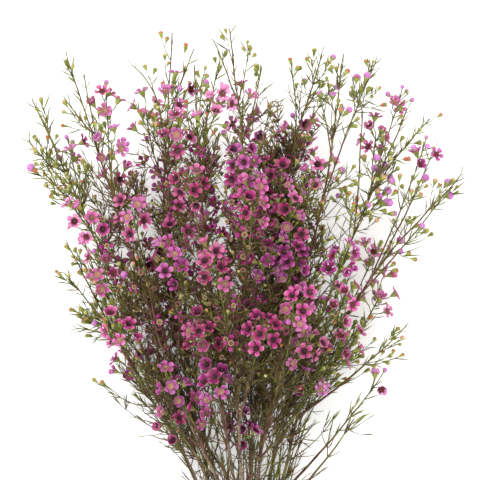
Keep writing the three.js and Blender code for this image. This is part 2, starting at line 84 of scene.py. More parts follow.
CLEARANCE = 0.0001  # metres from the surface to the lowest points of every piece
LIMB_TRIES = 40  # places that growth may have given a limb
HEAD_TRIES = 10  # and a flower
FOUND = 0.05  # from a corner of the part, within which a place is the one that it has

# From one slight bend of the wood to the next, and how far it strays there. Wood on the surface is straight,
# and from the second of these heights on it strays fully.
GNARLS = [(34, 1.1), (12, 0.45)]
STRAIGHT_HEIGHT, GNARLED_HEIGHT = 3, 9
AXIS_SHIFT = 31.7  # between the noises that move the wood along each axis

# A stem's line runs from its cut end to its leading tip. A spray is (x, y, z, blooms, buds) at the middle of
# its flowers, and a shoot is (x, y, z) at its tip.
STEMS = [
    {
        "line": [
            (-19, 4, 2.9), (-24, 90, 4), (-46, 165, 14), (-90, 245, 27), (-128, 312, 36), (-172, 397, 40),
        ],
        "sprays": [(-108, 276, 20, 6, 0), (-118, 314, 74, 7, 0), (-142, 374, 62, 8, 1)],
        "shoots": [(-164, 316, 40), (-160, 410, 8), (-176, 372, 66)],
    },
    {
        "line": [
            (-11, 14, 2.9), (-15, 92, 5), (-34, 165, 22), (-75, 245, 44), (-140, 395, 70), (-208, 546, 72),
        ],
        "sprays": [(-144, 426, 104, 9, 0), (-98, 384, 34, 6, 0), (-174, 495, 50, 3, 3), (-76, 306, 16, 7, 0)],
        "shoots": [(-211, 503, 50), (-196, 472, 90)],
    },
    {
        "line": [
            (-7, 2, 9.3), (-9, 95, 16), (-24, 165, 36), (-60, 245, 64), (-125, 445, 112), (-172, 586, 104),
        ],
        "sprays": [(-138, 540, 88, 6, 1), (-132, 497, 136, 5, 0), (-124, 468, 50, 5, 0),
                   (-106, 428, 146, 8, 0), (-64, 266, 96, 7, 0)],
        "shoots": [(-176, 548, 118), (-156, 572, 80)],
    },
    {
        "line": [(-3, 9, 2.9), (-4, 92, 4), (-14, 165, 16), (-42, 219, 30), (-76, 390, 64), (-68, 612, 84)],
        "sprays": [(-68, 550, 112, 5, 1), (-94, 528, 62, 7, 0), (-66, 508, 142, 7, 0), (-76, 466, 12, 5, 0),
                   (-64, 418, 106, 7, 0), (-62, 222, 58, 5, 0)],
        "shoots": [(-108, 580, 60), (-46, 596, 92)],
    },
    {
        "line": [(1, 16, 9.3), (0, 95, 18), (-6, 165, 42), (-18, 245, 78), (-37, 435, 144), (-45, 578, 132)],
        "sprays": [(-34, 532, 152, 8, 0), (-48, 460, 172, 8, 0), (-60, 386, 154, 9, 0), (-34, 422, 126, 8, 0),
                   (-36, 316, 132, 8, 0), (-24, 270, 106, 8, 0), (-22, 232, 58, 8, 0)],
        "shoots": [(-20, 584, 120)],
    },
    {
        "line": [(5, 6, 15.2), (4, 95, 28), (2, 165, 57), (-2, 245, 94), (6, 445, 160), (-10, 614, 124)],
        "sprays": [(2, 540, 132, 5, 0), (6, 482, 182, 10, 0), (12, 446, 188, 10, 0), (-22, 384, 182, 10, 0),
                   (14, 388, 148, 9, 0), (18, 318, 150, 8, 0)],
        "shoots": [(22, 578, 112), (-28, 604, 140)],
    },
    {
        "line": [(5, 1, 2.9), (9, 92, 4), (10, 165, 14), (17, 245, 32), (42, 445, 84), (82, 593, 96)],
        "sprays": [(18, 506, 92, 8, 0), (54, 516, 70, 5, 1), (36, 470, 122, 8, 0), (6, 214, 44, 6, 0)],
        "shoots": [(96, 560, 110), (52, 574, 60)],
    },
    {
        "line": [(9, 12, 9.3), (12, 95, 15), (18, 165, 38), (32, 245, 66), (82, 445, 128), (101, 579, 126)],
        "sprays": [(76, 468, 96, 8, 0), (52, 430, 154, 10, 0), (50, 382, 124, 9, 0), (56, 344, 160, 8, 0),
                   (58, 304, 106, 8, 0)],
        "shoots": [(134, 578, 100), (80, 540, 140)],
    },
    {
        "line": [(13, 3, 2.9), (19, 92, 4), (30, 165, 16), (50, 245, 36), (112, 405, 62), (168, 536, 84)],
        "sprays": [(140, 504, 66, 7, 0), (100, 386, 102, 7, 0), (96, 346, 74, 8, 0), (94, 300, 44, 7, 0),
                   (70, 260, 60, 4, 0), (160, 545, 50, 2, 4)],
        "shoots": [(122, 534, 96), (190, 526, 70)],
    },
    {
        "line": [(21, 10, 2.9), (29, 92, 4), (44, 165, 16), (66, 245, 34), (134, 370, 52), (222, 470, 60)],
        "sprays": [(182, 490, 86, 3, 3), (132, 384, 16, 6, 0), (138, 346, 26, 7, 0), (138, 262, 26, 2, 1)],
        "shoots": [(165, 316, 44), (116, 224, 14), (202, 444, 8), (196, 500, 44)],
    },
]


def draw(*keys):
    """A random share, always the same one for the same keys."""
    mixed = SEED
    for key in keys:
        mixed = (mixed ^ (key + 1)) * 0x9E3779B1 & 0xFFFFFFFF
        mixed ^= mixed >> 15
        mixed = mixed * 0x85EBCA6B & 0xFFFFFFFF
        mixed ^= mixed >> 13
    return mixed / 2**32


def stray(*keys):
    """A random vector, each part of it between -1 and 1."""
    return np.array([2 * draw(*keys, axis) - 1 for axis in range(3)])


def unit(vector):
    return vector / np.linalg.norm(vector)


def cross_axes(axis):
    """Two directions square to this one and to each other."""
    other = np.array([0.0, 0, 1]) if abs(axis[2]) < 0.9 else np.array([1.0, 0, 0])
    first = unit(np.cross(other, axis))
    return first, np.cross(axis, first)


def leaning(axis, turn, lean):
    """The direction that leans from an axis by one angle, to the side that the other angle gives."""
    first, second = cross_axes(axis)
    aside = math.cos(turn) * first + math.sin(turn) * second
    return math.cos(lean) * axis + math.sin(lean) * aside


def lerp(start, end, share):
    return start + (end - start) * share


def ramp(value, low, high):
    """How far a value is on its way from low to high, from 0 up to 1."""
    return min(1.0, max(0.0, (value - low) / (high - low)))


def stem_curve(bends, count):
    """A smooth line through the bends, as count + 1 points."""
    bends = np.array(bends, float)
    ends = [2 * bends[0] - bends[1], *bends, 2 * bends[-1] - bends[-2]]
    points = []
    for i in range(count + 1):
        place = (len(bends) - 1) * i / count
        span = min(int(place), len(bends) - 2)
        t = place - span
        before, start, end, after = ends[span : span + 4]
        leave, arrive = 0.5 * (end - before), 0.5 * (after - start)
        points.append(
            start + leave * t + (3 * end - 3 * start - 2 * leave - arrive) * t**2
            + (2 * start - 2 * end + leave + arrive) * t**3
        )
    return np.array(points)


def bow(start, bend, end, count):
    """A line that leaves its start towards the bend and reaches its end from there."""
    t = np.linspace(0, 1, count + 1)[:, None]
    return (1 - t) ** 2 * start + 2 * t * (1 - t) * bend + t**2 * end


def along(line, distance):
    """The point at a distance along a line, and the line's direction there."""
    i = 1
    left = distance
    while i < len(line) - 1 and left > np.linalg.norm(line[i] - line[i - 1]):
        left -= np.linalg.norm(line[i] - line[i - 1])
        i += 1
    axis = unit(line[i] - line[i - 1])
    return line[i - 1] + axis * left, axis


def length_of(line):
    return np.linalg.norm(np.diff(line, axis=0), axis=1).sum()


def stem_radius(share):
    return lerp(STEM_FOOT_RADIUS, STEM_TIP_RADIUS, share**STEM_TAPER)


def branch_foot(stem, tip):
    """Where a branch to this tip leaves its stem, the stem's direction there and the branch's radius."""
    steps, last_steps = 120, 6  # that a stem is searched in, and those at its tip that bear no branch
    length = length_of(stem)
    walk = [along(stem, length * i / steps) for i in range(steps + 1)]
    distances = [np.linalg.norm(point - tip) for point, _ in walk]
    nearest = distances.index(min(distances))
    back = distances[nearest] / math.tan(BRANCH_ANGLE)
    most = min(nearest, steps - last_steps) - math.floor(back * steps / length)
    share = max(most / steps, FIRST_BRANCH)
    foot, heading = along(stem, length * share)
    return foot, heading, BRANCH_FOOT_SHARE * stem_radius(share)


def rachis_length(heads):
    return FIRST_PAIR + PAIR_STEP * (math.ceil(heads / 2) - 1) + RACHIS_END


def gnarled(points):
    """The same points on wood that strays a little from its smooth line. What meets there still meets."""
    moved = []
    for point in points:
        push = np.zeros(3)
        for axis in range(3):
            for size, depth in GNARLS:
                push[axis] += depth * noise.noise(Vector(point / size + AXIS_SHIFT * axis))
        moved.append(point + ramp(point[2], STRAIGHT_HEIGHT, GNARLED_HEIGHT) * push)
    return np.array(moved)


def grow_limb(stem, smooth, place, keys, tries):
    """A side branch that bows from its stem to a spray or to the tip of a leafy shoot."""
    x, y, z, blooms, buds = place
    tip = np.array([x, y, z], float)
    heads = blooms + buds
    if heads:
        outward = unit(np.array([x, y - SPREAD_FROM, 0.0]))
        tip -= outward * (FLOWERS_BEYOND + 0.5 * rachis_length(heads))
    tip[2] = max(tip[2], TIP_LOWEST)
    foot, heading, radius = branch_foot(stem, tip)
    reach = tip - foot
    aside = unit(reach - heading * reach.dot(heading))
    finish = unit(0.85 * heading + 0.35 * aside)
    bend = tip - BRANCH_BEND * np.linalg.norm(reach) * finish
    bend += stray(*keys, tries >> 2) * BRANCH_STRAY * (1 + (tries >> 2))
    bend[2] = max(bend[2], BEND_LOWEST)
    end = unit(tip - bend)
    start = smooth[np.argmin(np.linalg.norm(smooth - foot, axis=1))]
    return {
        "keys": keys, "line": bow(start, bend, tip, BRANCH_SEGMENTS), "end": end, "radius": radius,
        "blooms": blooms, "heads": heads, "roll": math.tau * draw(*keys, 50 + tries),
    }


def grow_head(limb, k, tries):
    """A spray's flower or bud: where its stalk starts, its place, facing, size and roll."""
    keys = (*limb["keys"], 60)
    pair = k >> 1
    terminal = k == limb["heads"] - 1 and limb["heads"] % 2 == 1
    is_open = k < limb["blooms"]
    foot = limb["line"][-1] + limb["end"] * JOINT_GAP
    root = foot + limb["end"] * (FIRST_PAIR + PAIR_STEP * pair)
    sway = stray(*keys, k, tries)
    ease = 0.15 + 0.04 * tries
    turn = limb["roll"] + (k % 2) * math.pi + pair * (math.pi / 2) + ease * sway[0]
    lean = END_LEAN if terminal else STALK_LEAN - PAIR_LEAN * pair + ease * sway[1]
    way = leaning(limb["end"], turn, lean)
    way[2] += 0 if terminal else STALK_RISE
    way = unit(way)
    facing = way + stray(*keys, k, tries, 1) * (FACING_STRAY + 0.03 * tries)
    facing[2] += TURN_TO_LIGHT
    facing = unit(facing)
    size = draw(*keys, k, 7)
    radius = BLOOM_RADIUS * (0.93 + 0.14 * size) if is_open else BUD_RADIUS * (0.85 + 0.3 * size)
    centre = root + way * STALK_LENGTH * (1 if is_open else BUD_STALK_SHARE) * (1 + 0.3 * ease * sway[2])
    centre[2] = max(centre[2], radius * math.hypot(facing[0], facing[1]) - FLOOR_SINK)
    if not is_open:
        facing = unit(centre - root)
    return {
        "root": root, "centre": centre, "facing": facing, "radius": radius, "open": is_open,
        "roll": math.tau * draw(*keys, k, 8), "keys": (*keys, k),
    }


def crest_of(head):
    """A corner that a flower or a bud has in the part: the highest petal's tip, or the bud's."""
    if not head["open"]:
        return head["centre"] + head["facing"] * head["radius"]
    turns = [head["roll"] + math.tau * p / 5 for p in range(5)]
    tips = [head["centre"] + head["radius"] * leaning(head["facing"], turn, math.pi / 2) for turn in turns]
    return max(tips, key=lambda tip: tip[2]) + head["facing"] * CUPPING * head["radius"]


def corners_of(node):
    """The corners of one of the part's solids, in the millimetres of the growth."""
    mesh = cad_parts[node].data
    places = np.empty(3 * len(mesh.vertices), np.float32)
    mesh.vertices.foreach_get("co", places)
    return 1000.0 * places.reshape(-1, 3) + MIDDLE


def nearest_to(corners, choices, crest):
    """The first of these choices whose crest is one of the corners, or else the one that comes nearest."""
    best = None
    for choice in choices:
        miss = np.linalg.norm(corners - crest(choice), axis=1).min()
        if best is None or miss < best[0]:
            best = (miss, choice)
        if miss < FOUND:
            break
    return best


def limb_as_built(stem, smooth, place, keys, corners):
    """A limb in the place that the part has it in, with its flowers in theirs."""
    best = None
    for tries in range(LIMB_TRIES):
        limb = grow_limb(stem, smooth, place, keys, tries)
        heads = [
            nearest_to(corners, (grow_head(limb, k, n) for n in range(HEAD_TRIES)), crest_of)
            for k in range(limb["heads"])
        ]
        bud = limb["line"][-1] + limb["end"] * GREEN_BUD_LENGTH
        misses = [miss for miss, _ in heads] or [np.linalg.norm(corners - bud, axis=1).min()]
        limb["flowers"] = [head for _, head in heads]
        if best is None or max(misses) < best[0]:
            best = (max(misses), limb)
        if max(misses) < FOUND:
            break
    return best[1]


def mesh_of(name, points, edges=(), faces=(), **marks):
    """A mesh with a value or a vector for each of its points under each mark's name."""
    mesh = bpy.data.meshes.new(name)
    mesh.from_pydata([tuple(map(float, p)) for p in points], edges, faces)
    for mark, values in marks.items():
        values = np.asarray(values, np.float32)
        kind, field = ("FLOAT_VECTOR", "vector") if values.ndim == 2 else ("FLOAT", "value")
        mesh.attributes.new(mark, kind, "POINT").data.foreach_set(field, values.ravel())
    return mesh


def lines_mesh(name, lines, marks):
    """Lines as chains of edges in metres. Each is a dict of its points and of their values for each mark."""
    edges, start = [], 0
    for line in lines:
        edges += [(start + i, start + i + 1) for i in range(len(line["points"]) - 1)]
        start += len(line["points"])
    points = np.concatenate([line["points"] for line in lines])
    values = {mark: np.concatenate([line[mark] for line in lines]) for mark in marks}
    return mesh_of(name, (points - MIDDLE) / 1000, edges, **values)


class Nodes:
    """A node tree under way."""

    def __init__(self, tree):
        self.tree = tree

    def feed(self, node, **inputs):
        """Sets a node's inputs to values, or links them to outputs. Each goes by its name, or by i and its
        number."""
        for label, value in inputs.items():
            label = label.replace("_", " ")
            socket = node.inputs[int(label[1:])] if label[1:].isdigit() else node.inputs[label]
            if isinstance(value, bpy.types.NodeSocket):
                self.tree.links.new(value, socket)
            else:
                socket.default_value = value

    def add(self, kind, settings=(), **inputs):
        """A new node with these settings and inputs."""
        node = self.tree.nodes.new(kind)
        for key, value in dict(settings).items():
            setattr(node, key, value)
        self.feed(node, **inputs)
        return node

    def math(self, operation, first, second=0.0, third=0.0):
        return self.add("ShaderNodeMath", {"operation": operation}, i0=first, i1=second, i2=third).outputs[0]


class Growth(Nodes):
    """A Geometry Nodes tree under way, with these named inputs besides its source mesh and its material."""

    def __init__(self, name, **inputs):
        super().__init__(bpy.data.node_groups.new(name, "GeometryNodeTree"))
        for label, kind in {"Geometry": "Geometry", **inputs, "Material": "Material"}.items():
            self.tree.interface.new_socket(label, in_out="INPUT", socket_type=f"NodeSocket{kind}")
        self.tree.interface.new_socket("Geometry", in_out="OUTPUT", socket_type="NodeSocketGeometry")
        self.given = self.add("NodeGroupInput").outputs
        self.rank = self.add("GeometryNodeInputIndex").outputs[0]

    def mark(self, name, kind="FLOAT"):
        return self.add("GeometryNodeInputNamedAttribute", {"data_type": kind}, Name=name).outputs[0]

    def chance(self, low, high, number):
        """A random value for each point or copy, with a seed of its own for each number."""
        seed = self.math("ADD", self.given["Seed"], float(number))
        drawn = self.add(
            "FunctionNodeRandomValue", {"data_type": "FLOAT"}, i2=low, i3=high, ID=self.rank, Seed=seed
        )
        return drawn.outputs[1]

    def turned(self, rotation, axis, angle):
        """A rotation with a further turn about an axis of its own."""
        angles = self.add("ShaderNodeCombineXYZ", **{axis: angle}).outputs[0]
        turn = self.add("FunctionNodeEulerToRotation", Euler=angles).outputs[0]
        return self.add(
            "FunctionNodeRotateRotation", {"rotation_space": "LOCAL"}, Rotation=rotation, Rotate_By=turn
        ).outputs[0]

    def copies(self, shape, number, **links):
        """Copies on points of the shape that one input names, each with a random tint from 0 to 1."""
        shape = self.add("GeometryNodeObjectInfo", Object=self.given[shape]).outputs["Geometry"]
        placed = self.add("GeometryNodeInstanceOnPoints", Instance=shape, **links).outputs[0]
        return self.add(
            "GeometryNodeStoreNamedAttribute", {"data_type": "FLOAT", "domain": "INSTANCE"}, Geometry=placed,
            Name="tint", Value=self.chance(0.0, 1.0, number),
        ).outputs[0]

    def finish(self, geometry):
        """The end of every tree: one plain smooth mesh with its material, pressed flat where it would dip
        below the surface."""
        where = self.add("GeometryNodeInputPosition").outputs[0]
        x, y, z = self.add("ShaderNodeSeparateXYZ", Vector=where).outputs
        place = self.add("ShaderNodeCombineXYZ", X=x, Y=y, Z=self.math("MAXIMUM", z, CLEARANCE)).outputs[0]
        plain = self.add("GeometryNodeRealizeInstances", Geometry=geometry).outputs[0]
        pressed = self.add("GeometryNodeSetPosition", Geometry=plain, Position=place).outputs[0]
        smooth = self.add("GeometryNodeSetShadeSmooth", Geometry=pressed).outputs[0]
        coated = self.add("GeometryNodeSetMaterial", Geometry=smooth, Material=self.given["Material"])
        self.add("NodeGroupOutput", i0=coated.outputs[0])


def grown(name, source, growth, **values):
    """The plain mesh object that a tree grows from a source mesh, with the tree's inputs set."""
    piece = bpy.data.objects.new(name, source)
    bpy.context.scene.collection.objects.link(piece)
    maker = piece.modifiers.new("Growth", "NODES")
    maker.node_group = growth.tree
    for socket in growth.tree.interface.items_tree:
        if socket.in_out == "INPUT" and socket.name in values:
            maker[socket.identifier] = values[socket.name]
    depsgraph = bpy.context.evaluated_depsgraph_get()
    mesh = bpy.data.meshes.new_from_object(
        piece.evaluated_get(depsgraph), preserve_all_data_layers=True, depsgraph=depsgraph
    )
    piece.modifiers.remove(maker)
    piece.data = mesh
    mesh.name = name
    return piece


shoots = Growth("Round shoots", Sides="Int")
chains = shoots.add("GeometryNodeMeshToCurve", Mesh=shoots.given["Geometry"]).outputs[0]
ring = shoots.add("GeometryNodeCurvePrimitiveCircle", Resolution=shoots.given["Sides"], Radius=1.0).outputs[0]
girth = shoots.mark("girth")
tubes = shoots.add("GeometryNodeCurveToMesh", Curve=chains, Profile_Curve=ring, Scale=girth, Fill_Caps=True)
shoots.finish(tubes.outputs[0])


# An effect that every finish here shares: soft blotches with finer specks in them.
MOTTLE_FINENESS = 0.55
mottle = Nodes(bpy.data.node_groups.new("Mottle", "ShaderNodeTree"))
for label, way, kind in [
    ("Vector", "INPUT", "Vector"), ("Scale", "INPUT", "Float"), ("Fine", "INPUT", "Float"),
    ("Blotch", "OUTPUT", "Float"), ("Speck", "OUTPUT", "Float"),
]:
    mottle.tree.interface.new_socket(label, in_out=way, socket_type=f"NodeSocket{kind}")
given = mottle.add("NodeGroupInput").outputs
result = mottle.add("NodeGroupOutput")
for label, finer, detail in [("Blotch", 1.0, 3.0), ("Speck", 7.0, 2.0)]:
    scale = mottle.math("MULTIPLY", given["Scale"], finer)
    cloud = mottle.add(
        "ShaderNodeTexNoise", Vector=given["Vector"], Scale=scale, Detail=detail, Roughness=given["Fine"]
    )
    mottle.feed(result, **{label: cloud.outputs[0]})


def srgb(code):
    """A colour from its hexadecimal code, as light values."""
    parts = [int(code[i : i + 2], 16) / 255 for i in (0, 2, 4)]
    return tuple(p / 12.92 if p <= 0.04045 else ((p + 0.055) / 1.055) ** 2.4 for p in parts) + (1.0,)


class Finish(Nodes):
    """A material under way. A share may be the name of a mark, and a colour a hexadecimal code."""

    def __init__(self, name, **inputs):
        self.material = bpy.data.materials.new(name)
        self.material.use_nodes = True
        super().__init__(self.material.node_tree)
        self.wear(**inputs)

    def wear(self, **inputs):
        self.feed(self.tree.nodes["Principled BSDF"], **inputs)

    def mark(self, name):
        return self.add("ShaderNodeAttribute", {"attribute_name": name}).outputs["Fac"]

    def place(self):
        return self.add("ShaderNodeTexCoord").outputs["Object"]

    def spread(self, share, low, high, to_low=0.0, to_high=1.0):
        """A share between low and high, spread over another range and kept within it."""
        share = self.mark(share) if isinstance(share, str) else share
        return self.add(
            "ShaderNodeMapRange", {"clamp": True}, Value=share, From_Min=low, From_Max=high, To_Min=to_low,
            To_Max=to_high,
        ).outputs[0]

    def mix(self, share, first, second):
        """A colour between two others, by a share."""
        share = self.mark(share) if isinstance(share, str) else share
        first, second = (srgb(shade) if isinstance(shade, str) else shade for shade in (first, second))
        return self.add("ShaderNodeMix", {"data_type": "RGBA"}, i0=share, i6=first, i7=second).outputs[2]

    def mottled(self, scale):
        """The shared blotches and specks, with about this many blotches to the metre."""
        return self.add(
            "ShaderNodeGroup", {"node_tree": mottle.tree}, Vector=self.place(), Scale=scale,
            Fine=MOTTLE_FINENESS,
        ).outputs

    def bump(self, height, strength, distance):
        bumped = self.add("ShaderNodeBump", Strength=strength, Distance=distance, Height=height)
        self.wear(Normal=bumped.outputs[0])


bark = Finish("Bark", Specular_IOR_Level=0.25)
blotch, speck = bark.mottled(95)
old_bark = bark.mix(bark.spread(blotch, 0.38, 0.62), "45362a", "87745e")
old_bark = bark.mix(bark.spread(speck, 0.5, 0.72), old_bark, "ae9d86")
ruddy_bark = bark.mix(bark.spread(blotch, 0.35, 0.65), "43241a", "76493a")
green_bark = bark.mix(bark.spread(blotch, 0.35, 0.65), "3e481b", "838f42")
green_bark = bark.mix(bark.spread(speck, 0.55, 0.75, 0, 0.6), green_bark, "74452f")
brown_bark = bark.mix(bark.spread("fresh", 0.1, 0.45), old_bark, ruddy_bark)
bark.wear(
    Base_Color=bark.mix(bark.spread("fresh", 0.45, 0.8), brown_bark, green_bark),
    Roughness=bark.spread(speck, 0.3, 0.7, 0.62, 0.9),
)
grooves = bark.add("ShaderNodeMapping", Vector=bark.place(), Scale=(1.0, 0.14, 1.0))
cracks = bark.add("ShaderNodeTexNoise", Vector=grooves.outputs[0], Scale=1100.0, Detail=3.0)
bark.bump(bark.math("ADD", cracks.outputs[0], speck), 0.5, 0.0006)

bunch = []  # one entry for each stem, with its lines
for s, stem in enumerate(STEMS):
    chords = stem_curve(stem["line"], STEM_SEGMENTS)
    smooth = stem_curve(stem["line"], FINE_SEGMENTS)
    limbs = []
    for b, place in enumerate([*stem["sprays"], *[(*tip, 0, 0) for tip in stem["shoots"]]]):
        node = f"spray_{s + 1}_{b + 1}" if b < len(stem["sprays"]) else f"stem_{s + 1}"
        limbs.append(limb_as_built(chords, smooth, place, (s, b), corners_of(node)))
    bunch.append({"line": smooth[::2], "limbs": limbs})

for s, stem in enumerate(bunch):
    share = np.linspace(0, 1, len(stem["line"]))
    lines = [{
        "points": gnarled(stem["line"]),
        "girth": stem_radius(share) * lerp(1, SLIM_STEM_TIP, share) / 1000,
        "fresh": np.clip(1.3 * share - 0.55, 0, 0.6),
    }]
    for limb in stem["limbs"]:
        share = np.linspace(0, 1, len(limb["line"]))
        girth = lerp(SLIM_BRANCH_FOOT * limb["radius"], SLIM_BRANCH_TIP * BRANCH_TIP_RADIUS, share)
        fresh = lerp(0.2, 0.85, share) + 0.1 * draw(*limb["keys"], 9)
        lines.append({
            "points": gnarled(limb["line"]), "girth": girth / 1000, "fresh": np.clip(fresh, 0, 0.9),
        })
    source = lines_mesh(f"lines_{s + 1}", lines, ("girth", "fresh"))
    wood = grown(f"wood_{s + 1}", source, shoots, Sides=WOOD_SIDES, Material=bark.material)
    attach(wood, "root")
    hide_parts(f"stem_{s + 1}")

# ---- The leafy side twigs ----
# Thin woody twigs in opposite pairs between the flowers. They leave the wood at an acute angle, turn up to
# run along it and fork again, stand thickest deep in the bunch, and many end in a few stalked young buds.

TWIG_FOOT_RADIUS = 0.6
TWIG_TIP_RADIUS = 0.28
TWIG_BENDS = 5
CANE_FOOT_RADIUS = 1.15
TWIG_SIDES = 4
TWIG_MISSING = 0.35  # share of the twigs that their pairs lack
TWIG_LOWEST = 1.2  # above the surface
FORKING_SIZE = 26  # of the shortest twig that forks again
HIGHEST = 606  # from the cut ends, where the twigs end
CANE_FRESHNESS = 0.25  # of its bark, beyond a twig's
FLOWER_LIGHT = 7.5  # about a flower, where few twigs stand in its light
FLOWER_LIGHT_DEPTH = 3
BUD_STALK_RADIUS = 0.24
TWIG_BUD_DEPTH = 1.8  # of a bud's radius, from its middle down to its stalk
CUP_DEPTH = 0.8  # and of a bare cup's
BUD_STALK_GAP = 5  # from one pair of buds at a twig's end to the next
PINK_BUD_RADIUS = 3.1
YOUNG_BUD_RADIUS = 2.1
BARE_BELOW = 255  # from the cut ends, below which the twigs have no buds
CUPLESS_BELOW = 290
CUP_GAP = 34  # of twig for each flower that has dropped its petals, in the dense parts
CUP_RADIUS = 6.2  # of the flower it was
TIPS_WITHOUT_BUD = 0.34  # share of the twigs without a bud on the tip, and of the other places without one
SIDES_WITHOUT_BUD = 0.66
DENSE_WITHOUT_BUD = 0.42  # the further share without one in a dense part
PINK_SHARE = 0.03  # of the buds that are round and pink, and the further share in the pink places
PINK_PLACES_SHARE = 0.24

# Where the bunch is dense: the middle and the half width and height of each such place.
DENSE_PLACES = [(-15, 340, 95, 168), (-86, 430, 62, 66), (34, 500, 48, 50)]
THICKEST = [(-16, 445, 44)]  # where the twigs stand closest of all: x, y and reach
SHADE_TOP = 600  # from the cut ends, where the dense parts stand in the most light
SHADE_FADE = 120  # below that, over which their shade grows to its full depth
LEAST_SHADE = 0.2  # share of it that is left at the top
# Where round pink buds take the place of most young ones, and where leafy tips stand: x, y and reach.
PINK_PLACES = [(165, 450, 55), (100, 545, 45), (60, 585, 25)]
LEAFY_PLACES = [
    (-205, 500, 40), (-176, 590, 28), (84, 585, 34), (134, 578, 22), (222, 470, 30), (165, 312, 30),
    (116, 224, 36), (-170, 316, 36),
]
flower_places = np.array([
    head["centre"] for stem in bunch for limb in stem["limbs"] for head in limb["flowers"]
])


def core_share(place):
    """How deep inside the bunch a place is: 1 within a dense part, and 0 well outside all of them."""
    outside = min(
        math.hypot((place[0] - x) / wide, (place[1] - y) / high) for x, y, wide, high in DENSE_PLACES
    )
    return min(1.0, max(0.0, 2.6 - 2 * outside))


def shade_share(place):
    """How deep in shade a place is, for painted shade and for bare cups: as dense as the bunch is there, but
    lighter towards its top.
    """
    return core_share(place) * max(LEAST_SHADE, ramp(place[1], SHADE_TOP, SHADE_TOP - SHADE_FADE))


def nearness(place, spots):
    """1 in the middle of the nearest spot, falling off over that spot's reach."""
    return max(math.exp(-(((place[0] - x) ** 2 + (place[1] - y) ** 2) / reach**2)) for x, y, reach in spots)


def over_flowers(points):
    """For each point, whether it would stand in the light of a flower."""
    gaps = np.linalg.norm(points[:, None, :2] - flower_places[None, :, :2], axis=2)
    above = points[:, None, 2] > flower_places[None, :, 2] - FLOWER_LIGHT_DEPTH
    return ((gaps < FLOWER_LIGHT) & above).any(axis=1)


def greenness(foot, core):
    """How young the bark of a twig is: old low down, and ruddy in the dense parts."""
    return min(0.35, (foot[1] - 60) / 500) - 0.22 * core


def side_twigs(line, keys, first, last, gap, reach, lean, sink=0.0, girth=TWIG_FOOT_RADIUS):
    """Twigs in pairs off a line, from one distance along it to another, of about this gap, reach and lean.
    The denser the bunch is there, the more they sink."""
    twigs = []
    at, k = first, 0
    while at < last:
        foot, axis = along(line, at)
        core = core_share(foot)
        for side in (0, 1):
            own = (*keys, k, side)
            if draw(*own, 1) < TWIG_MISSING:
                continue
            turn = (side + 0.5 * k) * math.pi + 1.2 * (draw(*own, 2) - 0.5)
            way = leaning(axis, turn, lean * (0.7 + 0.6 * draw(*own, 3)))
            way = unit(way - (0, 0, sink * core))
            size = min(reach * (0.5 + 0.3 * core) * (0.65 + 0.8 * draw(*own, 4)), 8 + 0.7 * (last - at))
            tip = foot + size * unit(0.65 * way + 0.35 * axis)
            bend = foot + 0.5 * size * way
            tip[1] = min(tip[1], HIGHEST)
            tip[2] = max(tip[2], TWIG_LOWEST)
            bend[2] = max(bend[2], TWIG_LOWEST)
            twig = bow(foot, bend, tip, TWIG_BENDS)
            if over_flowers(twig).any() and draw(*own, 5) < 0.82 - 0.22 * core:
                continue
            share = np.linspace(0, 1, TWIG_BENDS + 1)
            twigs.append({
                "line": twig, "size": size, "core": core, "keys": own,
                "girth": lerp(girth, TWIG_TIP_RADIUS, share) / 1000,
                "fresh": np.clip(greenness(foot, core) + 0.3 * draw(*own, 6) + 0.35 * share, 0, 1),
            })
        sparse = (2.1 - 1.1 * core) * (1 - 0.5 * nearness(foot, THICKEST))
        at += gap * (0.6 + 0.8 * draw(*keys, k, 9)) * sparse
        k += 1
    return twigs


def end_buds(twig):
    """The buds at a twig's end: one on the tip, and up to two pairs on stalks below it."""
    found = []
    end = twig["line"][-1]
    axis = unit(end - twig["line"][-2])
    for n in range(5):
        keys = (*twig["keys"], 80 + n)
        without = SIDES_WITHOUT_BUD if n else TIPS_WITHOUT_BUD
        if end[1] < BARE_BELOW or draw(*keys) < without + DENSE_WITHOUT_BUD * twig["core"]:
            continue
        pair = (n + 1) // 2
        root = end - axis * BUD_STALK_GAP * (pair - 1) if n else end
        way = axis if n == 0 else leaning(axis, (n + 0.5 * pair) * math.pi, 0.4 + 0.4 * draw(*keys, 1))
        pink = draw(*keys, 2) < PINK_SHARE + PINK_PLACES_SHARE * nearness(end, PINK_PLACES)
        radius = PINK_BUD_RADIUS if pink else YOUNG_BUD_RADIUS
        radius *= (0.75 + 0.4 * draw(*keys, 3)) * lerp(1.2, 0.95, twig["core"])
        centre = root + way * (2 + 6 * draw(*keys, 4)) + way * 2 * radius
        centre[2] = max(centre[2], radius)
        found.append(dict(root=root, centre=centre, facing=way, radius=radius, keys=keys, pink=pink))
    return found


def bare_cups(twig):
    """The flowers on a twig in a dense part that have dropped their petals."""
    found = []
    end = twig["line"][-1]
    share = shade_share(end) * (1 + nearness(end, THICKEST))
    count = int(twig["size"] / CUP_GAP * share + draw(*twig["keys"], 90))
    for n in range(count):
        keys = (*twig["keys"], 91 + n)
        root, axis = along(twig["line"], twig["size"] * (0.2 + 0.75 * draw(*keys, 1)))
        way = leaning(axis, math.tau * draw(*keys, 2), 0.9)
        way = unit(way + (0, 0, 0.5))
        centre = root + way * (5 + 3 * draw(*keys, 3))
        if root[1] < CUPLESS_BELOW or over_flowers(np.array([centre])).any():
            continue
        radius = CUP_RADIUS * (0.8 + 0.35 * draw(*keys, 4))
        facing = unit(way + 0.5 * stray(*keys, 5))
        centre[2] = max(centre[2], 0.5 * radius)
        found.append(dict(root=root, centre=centre, facing=facing, radius=radius, keys=keys))
    return found


